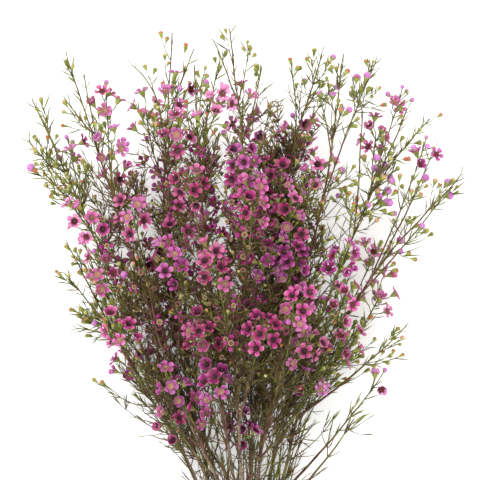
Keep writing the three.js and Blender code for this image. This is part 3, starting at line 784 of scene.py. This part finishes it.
def bud_stalk(bud, depth):
    """The straight stalk from a twig to so many of a bud's or a cup's radii below its middle."""
    top = bud["centre"] - depth * bud["facing"] * bud["radius"]
    return {
        "points": gnarled(np.array([bud["root"], top])),
        "girth": np.full(2, BUD_STALK_RADIUS / 1000),
        "fresh": np.full(2, 0.9),
    }


def twigs_of(stem, s):
    """All the twigs of a stem, and the long thin canes low on it."""
    line = stem["line"]
    end = length_of(line)
    twigs = side_twigs(line, (s, 70), first=150, last=end - 12, gap=18, reach=60, lean=0.6, sink=0.25)
    twigs += side_twigs(line, (s, 73), first=175, last=0.86 * end, gap=13.5, reach=86, lean=0.85, sink=0.9)
    canes = side_twigs(line, (s, 74), first=15, last=250, gap=21, reach=250, lean=0.2, girth=CANE_FOOT_RADIUS)
    for cane in canes:
        cane["fresh"] += CANE_FRESHNESS
    twigs += canes
    for b, limb in enumerate(stem["limbs"]):
        line = limb["line"]
        end = length_of(line)
        twigs += side_twigs(line, (s, b, 71), first=14, last=end - 6, gap=18, reach=44, lean=0.7, sink=0.3)
        twigs += side_twigs(line, (s, b, 75), first=20, last=end - 10, gap=40, reach=62, lean=0.95, sink=0.9)
    for t, twig in enumerate(list(twigs)):
        if twig["size"] > FORKING_SIZE:
            twigs += side_twigs(
                twig["line"], (s, t, 72), first=10, last=twig["size"] - 6, gap=15, reach=27, lean=0.85,
                sink=0.2, girth=0.7 * TWIG_FOOT_RADIUS,
            )
    return twigs


for s, stem in enumerate(bunch):
    stem["twigs"] = twigs_of(stem, s)
    for twig in stem["twigs"]:
        twig["points"] = gnarled(twig["line"])
    stem["buds"] = [bud for twig in stem["twigs"] for bud in end_buds(twig)]
    stem["cups"] = [cup for twig in stem["twigs"] for cup in bare_cups(twig)]
    lines = [*stem["twigs"]]
    lines += [bud_stalk(bud, TWIG_BUD_DEPTH) for bud in stem["buds"]]
    lines += [bud_stalk(cup, CUP_DEPTH) for cup in stem["cups"]]
    source = lines_mesh(f"twig_lines_{s + 1}", lines, ("girth", "fresh"))
    piece = grown(f"twigs_{s + 1}", source, shoots, Sides=TWIG_SIDES, Material=bark.material)
    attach(piece, "root")

# ---- The needle leaves ----
# Stiff, thin leaves a centimetre or so long, dull olive green with a paler, drier tip. They stand in opposite
# pairs, each pair across the one below, close to the twig that bears them.

NEEDLE_SPACING = 5.1
NEEDLE_LENGTH = 12.5
NEEDLE_LEAN = math.radians(33)
NEEDLE_PROFILE = [(0.0, 0.026), (0.45, 0.044), (1.0, 0.0)]  # share of length, radius over length
LIMB_BARE_POINTS = 5  # of its line, from the foot, that have no needles
STEM_BARE_POINTS = 22
OVER_FLOWERS = 0.24  # share of the needles that stay in the light of a flower

leafing = Growth("Paired needles", Needle="Object", Spacing="Float", Length="Float", Lean="Float", Seed="Int")
given = leafing.given
chains = leafing.add("GeometryNodeMeshToCurve", Mesh=given["Geometry"]).outputs[0]
spots = leafing.add("GeometryNodeCurveToPoints", {"mode": "LENGTH"}, Curve=chains, Length=given["Spacing"])
both = leafing.add("GeometryNodeJoinGeometry")
for side in (0, 1):
    seeds = 10 * side
    turn = leafing.math("MULTIPLY_ADD", leafing.rank, math.pi / 2, side * math.pi)
    turn = leafing.math("ADD", turn, leafing.chance(-0.5, 0.5, seeds))
    lean = leafing.math("MULTIPLY", leafing.chance(0.55, 1.45, seeds + 1), given["Lean"])
    lean = leafing.math("MULTIPLY", lean, leafing.mark("spread"))
    size = leafing.math("MULTIPLY", leafing.chance(0.55, 1.3, seeds + 2), given["Length"])
    size = leafing.math("MULTIPLY", size, leafing.mark("leafy"))
    there = leafing.math("LESS_THAN", leafing.chance(0.0, 1.0, seeds + 4), leafing.mark("dense"))
    poised = leafing.turned(leafing.turned(spots.outputs["Rotation"], "Z", turn), "X", lean)
    row = leafing.copies(
        "Needle", seeds + 3, Points=spots.outputs["Points"], Rotation=poised, Scale=size, Selection=there
    )
    leafing.feed(both, i0=row)
leafing.finish(both.outputs[0])


def lathed(name, profile, sides, **marks):
    """A shape turned from (height, radius) steps, closed at both ends. A last radius of 0 makes a point.
    A mark gives a value for each step."""
    counts = [sides if radius else 1 for _, radius in profile]
    points, faces = [], []
    for (height, radius), count in zip(profile, counts):
        turns = [math.tau * k / sides for k in range(count)]
        points += [(radius * math.cos(turn), radius * math.sin(turn), height) for turn in turns]
    for ring, count in enumerate(counts[1:]):
        for k in range(sides):
            a, b = ring * sides + k, ring * sides + (k + 1) % sides
            top = (b + sides, a + sides) if count > 1 else ((ring + 1) * sides,)
            faces.append((a, b, *top))
    faces.append(tuple(range(sides))[::-1])
    if counts[-1] > 1:
        faces.append(tuple(range(len(points) - sides, len(points))))
    values = {mark: np.repeat(steps, counts) for mark, steps in marks.items()}
    return bpy.data.objects.new(name, mesh_of(name, points, (), faces, **values))


needle = lathed("needle_shape", NEEDLE_PROFILE, 3, blade=[0, 0.5, 1.0])

leaf = Finish("Needle leaf", Specular_IOR_Level=0.35)
blotch, speck = leaf.mottled(60)
green = leaf.mix("tint", "374216", "a4a84c")
green = leaf.mix(leaf.spread(blotch, 0.35, 0.65, 0, 0.45), green, "57602a")
green = leaf.mix(leaf.spread("blade", 0.6, 1.0, 0, 0.4), green, "b9b35e")
# Painted shade: a darker green low down in the dense parts.
green = leaf.mix(leaf.math("MULTIPLY", leaf.mark("dusk"), 0.65), green, "2c3416")
# Painted shade: the needles turn a dark red-brown deep in the dense parts and near the surface below them,
# partly also from age.
shaded = leaf.mix("tint", "362015", "7c4f39")
leaf.wear(
    Base_Color=leaf.mix("deep", green, shaded),
    Roughness=leaf.spread(speck, 0.3, 0.7, 0.45, 0.7),
)
leaf.bump(speck, 0.3, 0.0002)


def leafiness(place):
    """The share of the needles that are there: many in the dense parts and at the leafy tips, few elsewhere,
    and fewer still low down."""
    kept = max(0.2, ramp(place[1], 190, 270))
    return kept * min(0.95, 0.24 + 0.68 * core_share(place) + 0.65 * nearness(place, LEAFY_PLACES))


def depth_of(place):
    """How brown the leaves are with age and painted shade: 1 deep and low in a dense part, 0 outside and on
    the low canes."""
    deep = shade_share(place) * (1.15 - place[2] / 225) * ramp(place[1], 130, 350)
    return min(1.0, max(0.0, deep))


def leaf_line(points, size):
    """A line that bears needles of this size. Low down they stand closer to it, and in the dense parts they
    are darker there with painted shade.
    """
    shares = [leafiness(point) for point in points]
    return {
        "points": points,
        "leafy": np.full(len(points), size),
        "dense": np.where(over_flowers(points), OVER_FLOWERS, shares),
        "deep": np.array([depth_of(point) for point in points]),
        "spread": np.array([lerp(0.3, 1.0, ramp(point[1], 200, 320)) for point in points]),
        "dusk": np.array([ramp(point[1], 340, 200) * core_share(point) for point in points]),
    }


for s, stem in enumerate(bunch):
    lines = [leaf_line(twig["points"], lerp(1.35, 1.02, twig["core"])) for twig in stem["twigs"]]
    lines += [leaf_line(gnarled(limb["line"])[LIMB_BARE_POINTS:], 1.1) for limb in stem["limbs"]]
    lines.append(leaf_line(gnarled(stem["line"])[STEM_BARE_POINTS:], 1.15))
    source = lines_mesh(f"leaf_lines_{s + 1}", lines, ("leafy", "dense", "deep", "spread", "dusk"))
    needles = grown(
        f"needles_{s + 1}", source, leafing, Needle=needle, Spacing=NEEDLE_SPACING / 1000,
        Length=NEEDLE_LENGTH / 1000, Lean=NEEDLE_LEAN, Seed=100 * s, Material=leaf.material,
    )
    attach(needles, "root")
bpy.data.objects.remove(needle)

# ---- The flower stalks ----
# Each side branch ends in a short green stem with thin stalks in opposite pairs, each for one flower or one
# bud. Shorter stalks between them bear the small buds of the next flowers.

STALK_RADIUS = 0.42
CALYX_DEPTH = 0.86  # of the bloom's radius, from the petals down to the stalk
BUD_DEPTH = 1.9  # of the bud's radius, likewise
YOUNG_RADIUS = 1.15
STALK_POINTS = 8
STALK_SIDES = 6


def stalk_line(root, foot, facing):
    """A stalk that leaves its root and turns to reach a calyx from below."""
    reach = np.linalg.norm(foot - root)
    points = gnarled(bow(root, foot - facing * 0.45 * reach, foot, STALK_POINTS - 1))
    girth = STALK_RADIUS * (1 + 0.5 * np.linspace(0, 1, STALK_POINTS) ** 3)
    return {"points": points, "girth": girth / 1000, "fresh": np.full(STALK_POINTS, 1.0)}


sprays = [[], [], []]  # by the colour of their petals
for s, stem in enumerate(bunch):
    for b, limb in enumerate(stem["limbs"]):
        if not limb["heads"]:
            continue
        foot = limb["line"][-1]
        top = foot + limb["end"] * (JOINT_GAP + rachis_length(limb["heads"]))
        rachis = np.array([lerp(foot, top, t) for t in np.linspace(0, 1, STALK_POINTS)])
        lines = [{
            "points": gnarled(rachis),
            "girth": np.linspace(0.75, 0.5, STALK_POINTS) / 1000,
            "fresh": np.full(STALK_POINTS, 0.9),
        }]
        for head in limb["flowers"]:
            depth = CALYX_DEPTH if head["open"] else BUD_DEPTH
            under = head["centre"] - head["facing"] * depth * head["radius"]
            lines.append(stalk_line(head["root"], under, head["facing"]))
        young = []
        for n in range(limb["heads"] // 2 + 2):
            keys = (*limb["keys"], 61, n)
            root = lerp(foot, top, 0.15 + 0.8 * draw(*keys, 1))
            way = leaning(limb["end"], math.tau * draw(*keys, 2), 0.5 + 0.5 * draw(*keys, 3))
            centre = root + way * (7 + 9 * draw(*keys, 4))
            centre[2] = max(centre[2], YOUNG_RADIUS)
            radius = YOUNG_RADIUS * (0.7 + 0.6 * draw(*keys, 5))
            young.append(dict(root=root, centre=centre, facing=way, radius=radius, keys=keys))
            lines.append(stalk_line(root, centre - way * YOUNG_RADIUS * 1.5, way))
        sprays[(s + b) % 3].append({
            "node": f"spray_{s + 1}_{b + 1}", "lines": lines, "heads": limb["flowers"], "young": young,
        })

COLOURS = ["magenta", "pink", "rose"]
flowers = [[head for spray in group for head in spray["heads"] if head["open"]] for group in sprays]
for colour, group in zip(COLOURS, sprays):
    lines = [line for spray in group for line in spray["lines"]]
    source = lines_mesh(f"stalk_lines_{colour}", lines, ("girth", "fresh"))
    stalks = grown(f"stalks_{colour}", source, shoots, Sides=STALK_SIDES, Material=bark.material)
    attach(stalks, "root")
    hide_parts(*[spray["node"] for spray in group])

# ---- The calyces ----
# Under each flower a green funnel, grown in one with its stalk, which opens to a round bowl of nectar between
# the petals. The bowl is tan in a young flower and turns dark maroon with age.

whorl = Growth(
    "Whorl", Shape="Object", Count="Int", Hinge="Float", Lift="Float", Shut="Float", Stray="Float", Seed="Int"
)
given = whorl.given
spots = whorl.add("GeometryNodeMeshToPoints", Mesh=given["Geometry"], Radius=0.001).outputs[0]
spots = whorl.add("GeometryNodeDuplicateElements", {"domain": "POINT"}, Amount=given["Count"], Geometry=spots)
turn = whorl.math("DIVIDE", math.tau, given["Count"])
turn = whorl.math("MULTIPLY", spots.outputs["Duplicate Index"], turn)
turn = whorl.math("MULTIPLY_ADD", whorl.chance(-0.5, 0.5, 1), given["Stray"], turn)
lift = whorl.math("MULTIPLY_ADD", whorl.mark("shut"), given["Shut"], given["Lift"])
lift = whorl.math("MULTIPLY_ADD", whorl.chance(-1.0, 1.0, 2), given["Stray"], lift)
stance = whorl.add("FunctionNodeEulerToRotation", Euler=whorl.mark("stance", "FLOAT_VECTOR")).outputs[0]
stance = whorl.turned(stance, "Z", turn)
size = whorl.mark("size")
arm = whorl.add("ShaderNodeCombineXYZ", Y=whorl.math("MULTIPLY", size, given["Hinge"])).outputs[0]
arm = whorl.add("FunctionNodeRotateVector", Vector=arm, Rotation=stance).outputs[0]
hinged = whorl.add("GeometryNodeSetPosition", Geometry=spots.outputs[0], Offset=arm).outputs[0]
scale = whorl.math("MULTIPLY_ADD", whorl.chance(-0.5, 0.5, 3), given["Stray"], 1.0)
scale = whorl.math("MULTIPLY", size, scale)
whorl.finish(whorl.copies("Shape", 4, Points=hinged, Rotation=whorl.turned(stance, "X", lift), Scale=scale))


def heads_mesh(name, heads):
    """The places that flowers or buds stand at, each with its stance, size and character."""
    marks = {mark: [] for mark in ("stance", "size", "shut", "age", "hue")}
    places = []
    for head in heads:
        first, second = cross_axes(head["facing"])
        roll = head.get("roll", 0.0)
        side = math.cos(roll) * first + math.sin(roll) * second
        axes = np.column_stack([side, np.cross(head["facing"], side), head["facing"]])
        places.append(gnarled([head["centre"]])[0])
        marks["stance"].append(tuple(Matrix(axes.tolist()).to_euler()))
        marks["size"].append(head["radius"] / 1000)
        marks["shut"].append(max(0, draw(*head["keys"], 20) - 0.4) * 1.8)
        marks["age"].append(draw(*head["keys"], 21))
        # Painted shade: flowers and buds deep in the dense parts get darker colours and those outside paler
        # ones; the random draws add real tone.
        pale = 0.9 - 0.82 * shade_share(head["centre"])
        hue = pale + 0.4 * (draw(*head["keys"][:3], 22) - 0.4) + 0.6 * (draw(*head["keys"], 23) - 0.4)
        marks["hue"].append(min(1.0, max(0.0, hue)))
    return mesh_of(name, (np.array(places) - MIDDLE) / 1000, (), (), **marks)


def set_heads(name, heads, shape, finish, seed, **values):
    """One piece: this shape, or a whorl of Count of it, at each flower or bud."""
    source = heads_mesh(f"{name}_places", heads)
    settings = {"Count": 1, **values}
    return grown(name, source, whorl, Shape=shape, Seed=seed, Material=finish.material, **settings)


# Heights and radii, in shares of the flower's radius: up the outside, over the rim and down into the bowl.
CALYX = [
    (-0.86, 0.055), (-0.72, 0.11), (-0.5, 0.24), (-0.2, 0.37),
    (0.0, 0.46), (0.04, 0.43), (-0.1, 0.3), (-0.15, 0.1),
]
calyx = lathed("calyx_shape", CALYX, 9, blade=[0, 0.1, 0.25, 0.42, 0.6, 0.8, 1, 1])

funnel = Finish("Calyx and bowl", Specular_IOR_Level=0.25)
blotch, speck = funnel.mottled(150)
green = funnel.mix(funnel.spread(blotch, 0.35, 0.65), "727f30", "a6b058")
green = funnel.mix(funnel.spread(speck, 0.5, 0.75, 0, 0.5), green, "8a5a48")
# Painted shade: in the dense parts the green outside turns a dark red-brown, and outside them the maroon bowl
# turns a lighter red-brown.
green = funnel.mix(funnel.spread("hue", 0.0, 0.5, 0.6, 0), green, "6e3c36")
aged = funnel.spread("age", 0.15, 0.4)
maroon = funnel.mix(funnel.spread(speck, 0.3, 0.7), "22080e", "421420")
maroon = funnel.mix(funnel.spread("hue", 0.5, 1.0, 0, 0.8), maroon, "7a3a34")
bowl = funnel.mix(aged, "b08468", maroon)
rim = funnel.mix(aged, "d48fae", "a8407e")
inner = funnel.mix(funnel.spread("blade", 0.62, 0.95), rim, bowl)
funnel.wear(
    Base_Color=funnel.mix(funnel.spread("blade", 0.5, 0.62), green, inner),
    Roughness=funnel.spread("blade", 0.6, 0.9, 0.6, 0.4),
)
funnel.bump(speck, 0.3, 0.0003)

for n, colour in enumerate(COLOURS):
    calyces = set_heads(f"calyces_{colour}", flowers[n], calyx, funnel, seed=10 + n)
    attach(calyces, "root")
bpy.data.objects.remove(calyx)

# ---- The bare cups ----
# Flowers in the heart of the bunch that have dropped their petals: a green funnel with a drying cream rim
# round a brown bowl, on a thin stalk.

CUP = [(-0.84, 0.06), (-0.45, 0.26), (0.02, 0.47), (0.03, 0.41), (-0.14, 0.24), (-0.16, 0.08)]
bare_cup = lathed("bare_cup_shape", CUP, 7, blade=[0, 0.3, 0.6, 0.75, 1, 1])
husk = Finish("Bare cup", Specular_IOR_Level=0.3, Roughness=0.6)
_, speck = husk.mottled(150)
# Painted shade: the funnel is dark brown in the shade of the dense parts and green where more light reaches.
green = husk.mix("hue", "5e4428", "8f9a40")
green = husk.mix(husk.spread(speck, 0.5, 0.75, 0, 0.5), green, "7a4436")
hollow = husk.mix("age", "3a1a14", "8a6444")
edge = husk.mix("age", "a0526a", "c3ba82")
inside = husk.mix(husk.spread("blade", 0.75, 0.95), edge, hollow)
husk.wear(Base_Color=husk.mix(husk.spread("blade", 0.48, 0.6), green, inside))
husk.bump(speck, 0.3, 0.0003)
faded_flowers = [cup for stem in bunch for cup in stem["cups"]]
cups = set_heads("bare_cups", faded_flowers, bare_cup, husk, seed=60)
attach(cups, "root")
bpy.data.objects.remove(bare_cup)

# ---- The withered petals ----
# Small deep magenta petals, thin and half folded as they dry, that the fading flowers in the heart of the
# bunch still hold by the claw.

WITHERED = 0.33  # share of these flowers that still have some, and up to twice that in the thickest part
FOLDED = [(0.14, 0.0), (0.44, 0.42), (0.24, 0.84), (-0.24, 0.84), (-0.44, 0.42)]


def folded_shape():
    """A petal as a thin dished plate, in shares of the flower's radius, from its claw out along Y."""
    points = [(x, y, 0.3 * x * x + 0.05 * y) for x, y in FOLDED]
    points += [(0.0, 0.42, -0.06), (0.0, 0.42, -0.11)]
    count = len(FOLDED)
    faces = [(i, (i + 1) % count, count) for i in range(count)]
    faces += [((i + 1) % count, i, count + 1) for i in range(count)]
    blade = [0.0, 0.6, 1.0, 1.0, 0.6, 0.5, 0.5]
    mesh = mesh_of("folded_shape", points, (), faces, blade=blade)
    return bpy.data.objects.new("folded_shape", mesh)


folded = folded_shape()
faded = Finish("Withered petal", Specular_IOR_Level=0.25)
blotch, speck = faded.mottled(120)
dry = faded.mix("tint", "800e56", "cc489c")
dry = faded.mix(faded.spread("blade", 0.5, 1.0, 0, 0.5), dry, "c469a4")
dry = faded.mix(faded.spread(blotch, 0.45, 0.7, 0, 0.4), dry, "5a1432")
faded.wear(Base_Color=dry, Roughness=faded.spread(speck, 0.3, 0.7, 0.5, 0.8))
faded.bump(speck, 0.3, 0.0003)
holding = [
    cup for cup in faded_flowers
    if draw(*cup["keys"], 30) < WITHERED * (1 + nearness(cup["centre"], THICKEST))
]
withered = set_heads(
    "withered_petals", holding, folded, faded, seed=70, Count=4, Hinge=0.4, Lift=0.3, Shut=0.5, Stray=0.5
)
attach(withered, "root")
bpy.data.objects.remove(folded)

# ---- The petals ----
# Five round, waxy, spoon-shaped petals to a flower, each narrowed to a claw on the rim of the bowl. They are
# strongest in colour at the claw and pale at the edge, with fine veins.

# Shares of the petal's length from its claw, and of its half width there. The sizes are in shares of the
# flower's radius.
PETAL_ROWS = [(0.0, 0.5), (0.2, 0.82), (0.5, 1.0), (0.78, 0.93), (0.94, 0.66), (1.0, 0.3)]
PETAL_COLUMNS = 5
PETAL_LENGTH = 0.6
PETAL_HALF_WIDTH = 0.345
PETAL_RUFFLE = 0.03
PETAL_THICKNESS = 0.035


def petal_shape():
    """One petal, in shares of the flower's radius, from its claw at the origin out along Y."""
    points, faces, blade, vein = [], [], [], []
    for under in (0, 1):
        for share, width in PETAL_ROWS:
            for c in range(PETAL_COLUMNS):
                v = 2 * c / (PETAL_COLUMNS - 1) - 1
                rise = 0.14 * (v * width) ** 2 + 0.16 * share**2 - 0.05 * share
                rise += PETAL_RUFFLE * v * v * math.sin(17 * share + 2 * v) * share
                rise -= under * PETAL_THICKNESS * (1 - abs(v) ** 3)
                points.append((v * width * PETAL_HALF_WIDTH, share * PETAL_LENGTH, rise))
                blade.append(share)
                vein.append(v)
    rows, total = len(PETAL_ROWS), len(PETAL_ROWS) * PETAL_COLUMNS
    for r in range(rows - 1):
        for c in range(PETAL_COLUMNS - 1):
            a = r * PETAL_COLUMNS + c
            quad = (a, a + 1, a + 1 + PETAL_COLUMNS, a + PETAL_COLUMNS)
            faces += [quad, tuple(total + k for k in reversed(quad))]
    rim = list(range(PETAL_COLUMNS))
    rim += [r * PETAL_COLUMNS + PETAL_COLUMNS - 1 for r in range(1, rows)]
    rim += [(rows - 1) * PETAL_COLUMNS + c for c in range(PETAL_COLUMNS - 2, -1, -1)]
    rim += [r * PETAL_COLUMNS for r in range(rows - 2, 0, -1)]
    for i, a in enumerate(rim):
        b = rim[(i + 1) % len(rim)]
        faces.append((b, a, total + a, total + b))
    mesh = mesh_of("petal_shape", points, (), faces, blade=blade, vein=vein)
    return bpy.data.objects.new("petal_shape", mesh)


petal = petal_shape()
PETAL_SHADES = {
    "magenta": ("700a50", "b6248a", "e6a2d6"),
    "pink": ("900c58", "d03692", "f4b4da"),
    "rose": ("6c063a", "b2206a", "e69ac2"),
}
YOUNG_SHADE, OLD_SHADE = "ca86c8", "86103c"
VEINS_ACROSS, VEINS_ALONG = 7.0, 1.5  # streaks over half a petal's width, and over its length
VEINS_APART = 40.0  # from one petal's streaks to another's, so that no two are alike
for n, colour in enumerate(COLOURS):
    deep, plain, pale = PETAL_SHADES[colour]
    wax = Finish(f"Petal {colour}", Specular_IOR_Level=0.2)
    blotch, speck = wax.mottled(9)
    # Painted shade: by the shade mark, petals in the dense parts take their darker shades, darken more with
    # age and show less of the pale edge, and those outside take paler ones. The tint adds real tone.
    hue = wax.math("MULTIPLY_ADD", wax.mark("tint"), 0.35, wax.math("MULTIPLY", wax.mark("hue"), 0.65))
    blotch = wax.spread(blotch, 0.35, 0.65)
    body = wax.mix(hue, wax.mix(blotch, deep, plain), wax.mix(blotch, plain, pale))
    body = wax.mix(wax.spread("age", 0.0, 0.4, 0.4, 0), body, YOUNG_SHADE)
    fading = wax.math("MULTIPLY", wax.spread("age", 0.6, 1.0, 0, 0.6), wax.spread("hue", 0.2, 0.8, 1, 0))
    body = wax.mix(fading, body, OLD_SHADE)
    edge = wax.math("MULTIPLY", wax.spread("blade", 0.55, 1.0), wax.spread("hue", 0.0, 0.8, 0.35, 0.8))
    body = wax.mix(edge, body, pale)
    body = wax.mix(wax.spread("blade", 0.0, 0.3, 0.8, 0), body, deep)
    grain = wax.add(
        "ShaderNodeCombineXYZ", X=wax.math("MULTIPLY", wax.mark("vein"), VEINS_ACROSS),
        Y=wax.math("MULTIPLY", wax.mark("blade"), VEINS_ALONG),
        Z=wax.math("MULTIPLY", wax.mark("tint"), VEINS_APART),
    ).outputs[0]
    veins = wax.add("ShaderNodeTexNoise", Scale=1.0, Detail=2.0, Vector=grain).outputs[0]
    body = wax.mix(wax.spread(veins, 0.52, 0.7, 0, 0.35), body, deep)
    wax.wear(Base_Color=body, Roughness=wax.spread(speck, 0.3, 0.7, 0.35, 0.6))
    wax.bump(veins, 0.4, 0.0003)
    petals = set_heads(
        f"petals_{colour}", flowers[n], petal, wax, seed=20 + n, Count=5, Hinge=0.42, Lift=0.14, Shut=0.9,
        Stray=0.16,
    )
    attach(petals, "root")
    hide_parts(*[spray["node"] for spray in sprays[n]])
bpy.data.objects.remove(petal)

# ---- The stamens ----
# Ten short stamens bend in from the rim of each bowl, with a fine white thread and a dark anther each, round
# one upright style.

STAMENS = 10


def stamens_shape():
    """The stamens and the style of one flower, in shares of its radius."""
    points, faces, anther = [], [], []

    def thread(path, radii, sides, marks):
        """A closed tube along a path, with a radius and an anther mark for each of its points."""
        start = len(points)
        for place, radius in zip(path, radii):
            for k in range(sides):
                turn = math.tau * k / sides
                x = place[0] + radius * math.cos(turn)
                y = place[1] + radius * math.sin(turn)
                points.append((x, y, place[2]))
        anther.extend(np.repeat(marks, sides))
        for ring in range(len(path) - 1):
            for k in range(sides):
                a, b = start + ring * sides + k, start + ring * sides + (k + 1) % sides
                faces.append((a, b, b + sides, a + sides))
        faces.append(tuple(range(start, start + sides))[::-1])
        faces.append(tuple(range(len(points) - sides, len(points))))

    for n in range(STAMENS):
        turn = math.tau * (n + 0.5) / STAMENS
        out = np.array([math.cos(turn), math.sin(turn), 0])
        path = [out * 0.42, out * 0.35 + (0, 0, 0.1), out * 0.31 + (0, 0, 0.14)]
        thread(path, [0.016, 0.03, 0.012], 3, [0, 1, 1])
    style = [(0, 0, -0.14), (0, 0, 0.1), (0, 0, 0.2), (0, 0, 0.25)]
    thread(style, [0.04, 0.025, 0.045, 0.02], 5, [0.3, 0, 0, 0])
    mesh = mesh_of("stamens_shape", points, (), faces, anther=anther)
    return bpy.data.objects.new("stamens_shape", mesh)


threads = stamens_shape()
silk = Finish("Stamens and style", Specular_IOR_Level=0.3, Roughness=0.5)
blotch, speck = silk.mottled(400)
strand = silk.mix(silk.spread(blotch, 0.3, 0.7), "e9b9d2", "f3e3dc")
strand = silk.mix(silk.spread("age", 0.25, 0.55), strand, "54182f")
pollen = silk.mix(silk.spread(speck, 0.3, 0.7), "3a1218", "7a3a30")
silk.wear(Base_Color=silk.mix("anther", strand, pollen))
for n, colour in enumerate(COLOURS):
    stamens = set_heads(f"stamens_{colour}", flowers[n], threads, silk, seed=30 + n)
    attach(stamens, "root")
bpy.data.objects.remove(threads)

# ---- The round buds ----
# Unopened flowers: a ball of closed waxy petals, lilac pink and paler on top, held in a green cone that
# narrows to its stalk.

# Heights and radii, in shares of the ball's radius.
BUD = [
    (-1.9, 0.12), (-1.5, 0.28), (-1.0, 0.55), (-0.62, 0.8), (-0.5, 0.88), (-0.3, 0.97),
    (0.0, 1.02), (0.35, 0.95), (0.65, 0.76), (0.86, 0.5), (0.97, 0.22), (1.0, 0.05),
]
round_bud = lathed("bud_shape", BUD, 10, blade=[0, 0.1, 0.2, 0.3, 0.36, 0.45, 0.55, 0.68, 0.8, 0.9, 0.97, 1])
closed = Finish("Round bud", Specular_IOR_Level=0.45, Roughness=0.4)
blotch, speck = closed.mottled(220)
# Painted shade: the ball is a darker pink in the dense parts and a lighter lilac pink outside them.
ball = closed.mix("hue", "b0449c", "cf80c8")
ball = closed.mix(closed.spread("blade", 0.6, 1.0, 0, 0.45), ball, "dfa2d8")
ball = closed.mix(closed.spread(blotch, 0.5, 0.75, 0, 0.6), ball, "9c3c8a")
cone = closed.mix(closed.spread(blotch, 0.35, 0.65), "74803a", "a5a95e")
closed.wear(Base_Color=closed.mix(closed.spread("blade", 0.33, 0.4), cone, ball))
closed.bump(speck, 0.25, 0.0003)

twig_buds = [bud for stem in bunch for bud in stem["buds"]]
round_buds = [head for group in sprays for spray in group for head in spray["heads"] if not head["open"]]
round_buds += [bud for bud in twig_buds if bud["pink"]]
buds = set_heads("buds", round_buds, round_bud, closed, seed=40)
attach(buds, "root")
bpy.data.objects.remove(round_bud)

# ---- The young buds ----
# Buds of the next flowers, a few millimetres across: a small ball on a narrow green cone. They are green and
# cream at first, then orange and red.

YOUNG_BUD = [(-2.3, 0.14), (-1.2, 0.5), (-0.1, 0.96), (0.45, 0.8), (0.8, 0.0)]
tiny_bud = lathed("tiny_bud_shape", YOUNG_BUD, 6, blade=[0, 0.25, 0.55, 0.85, 1])
early = Finish("Young bud", Specular_IOR_Level=0.4, Roughness=0.5)
_, speck = early.mottled(300)
green = early.mix("age", "84863c", "c4bf74")
warm = early.mix(early.spread("age", 0.35, 0.65), "d3a078", "bd5540")
ball = early.mix(early.spread("tint", 0.5, 0.55), green, warm)
cone = early.mix("tint", "66762b", "a2b045")
whole = early.mix(early.spread("blade", 0.45, 0.7), cone, ball)
early.wear(Base_Color=early.mix(early.spread(speck, 0.5, 0.7, 0, 0.4), whole, "8c6a3e"))
early.bump(speck, 0.25, 0.0003)
places = [head for group in sprays for spray in group for head in spray["young"]]
places += [bud for bud in twig_buds if not bud["pink"]]
young_buds = set_heads("young_buds", places, tiny_bud, early, seed=50)
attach(young_buds, "root")
bpy.data.objects.remove(tiny_bud)

# ---- The surface, the light and the camera ----
# A plain pale surface that the bunch lies on, a broad soft light above it, and a camera that looks straight
# down. None of them is part of the bunch.

WHITE = (1.0, 1.0, 1.0, 1.0)
FLOOR_HALF_WIDTH = 9.0
surface = Finish(
    "Matt white surface", Roughness=0.9, Specular_IOR_Level=0.1, Emission_Color=WHITE, Emission_Strength=0.36
)
blotch, _ = surface.mottled(6)
surface.wear(Base_Color=surface.mix(surface.spread(blotch, 0.3, 0.7), "f2f2f2", "f5f5f5"))
corners = [(FLOOR_HALF_WIDTH * x, FLOOR_HALF_WIDTH * y, 0) for x, y in [(-1, -1), (1, -1), (1, 1), (-1, 1)]]
floor = bpy.data.objects.new("floor", mesh_of("floor", corners, (), [(0, 1, 2, 3)]))
floor.data.materials.append(surface.material)
bpy.context.scene.collection.objects.link(floor)

world = bpy.data.worlds.new("Soft white room")
world.use_nodes = True
Nodes(world.node_tree).feed(world.node_tree.nodes["Background"], Color=WHITE, Strength=1.08)
bpy.context.scene.world = world

for name, place, size, power in [("key", (-1.2, 0.9, 2.6), 1.6, 42), ("fill", (1.8, -0.6, 2.2), 2.0, 10)]:
    lamp = bpy.data.lights.new(name, "AREA")
    lamp.size = size
    lamp.energy = power
    light = bpy.data.objects.new(name, lamp)
    light.location = place
    light.rotation_mode = "QUATERNION"
    light.rotation_quaternion = (-Vector(place)).to_track_quat("-Z", "Y")
    bpy.context.scene.collection.objects.link(light)

CAMERA_HEIGHT = 5.0
MIDDLE_HEIGHT = 0.08  # metres, of the bunch
VIEW_WIDTH = 0.480  # metres, at that height
VIEW_MIDDLE = 405  # from the cut ends
SENSOR_WIDTH = 36
lens = bpy.data.cameras.new("camera")
lens.sensor_width = SENSOR_WIDTH
lens.lens = SENSOR_WIDTH * (CAMERA_HEIGHT - MIDDLE_HEIGHT) / VIEW_WIDTH
lens.clip_end = 50
camera = bpy.data.objects.new("camera", lens)
camera.location = (-MIDDLE[0] / 1000, (VIEW_MIDDLE - MIDDLE[1]) / 1000, CAMERA_HEIGHT)
bpy.context.scene.collection.objects.link(camera)
bpy.context.scene.camera = camera
bpy.context.scene.view_settings.view_transform = "Standard"
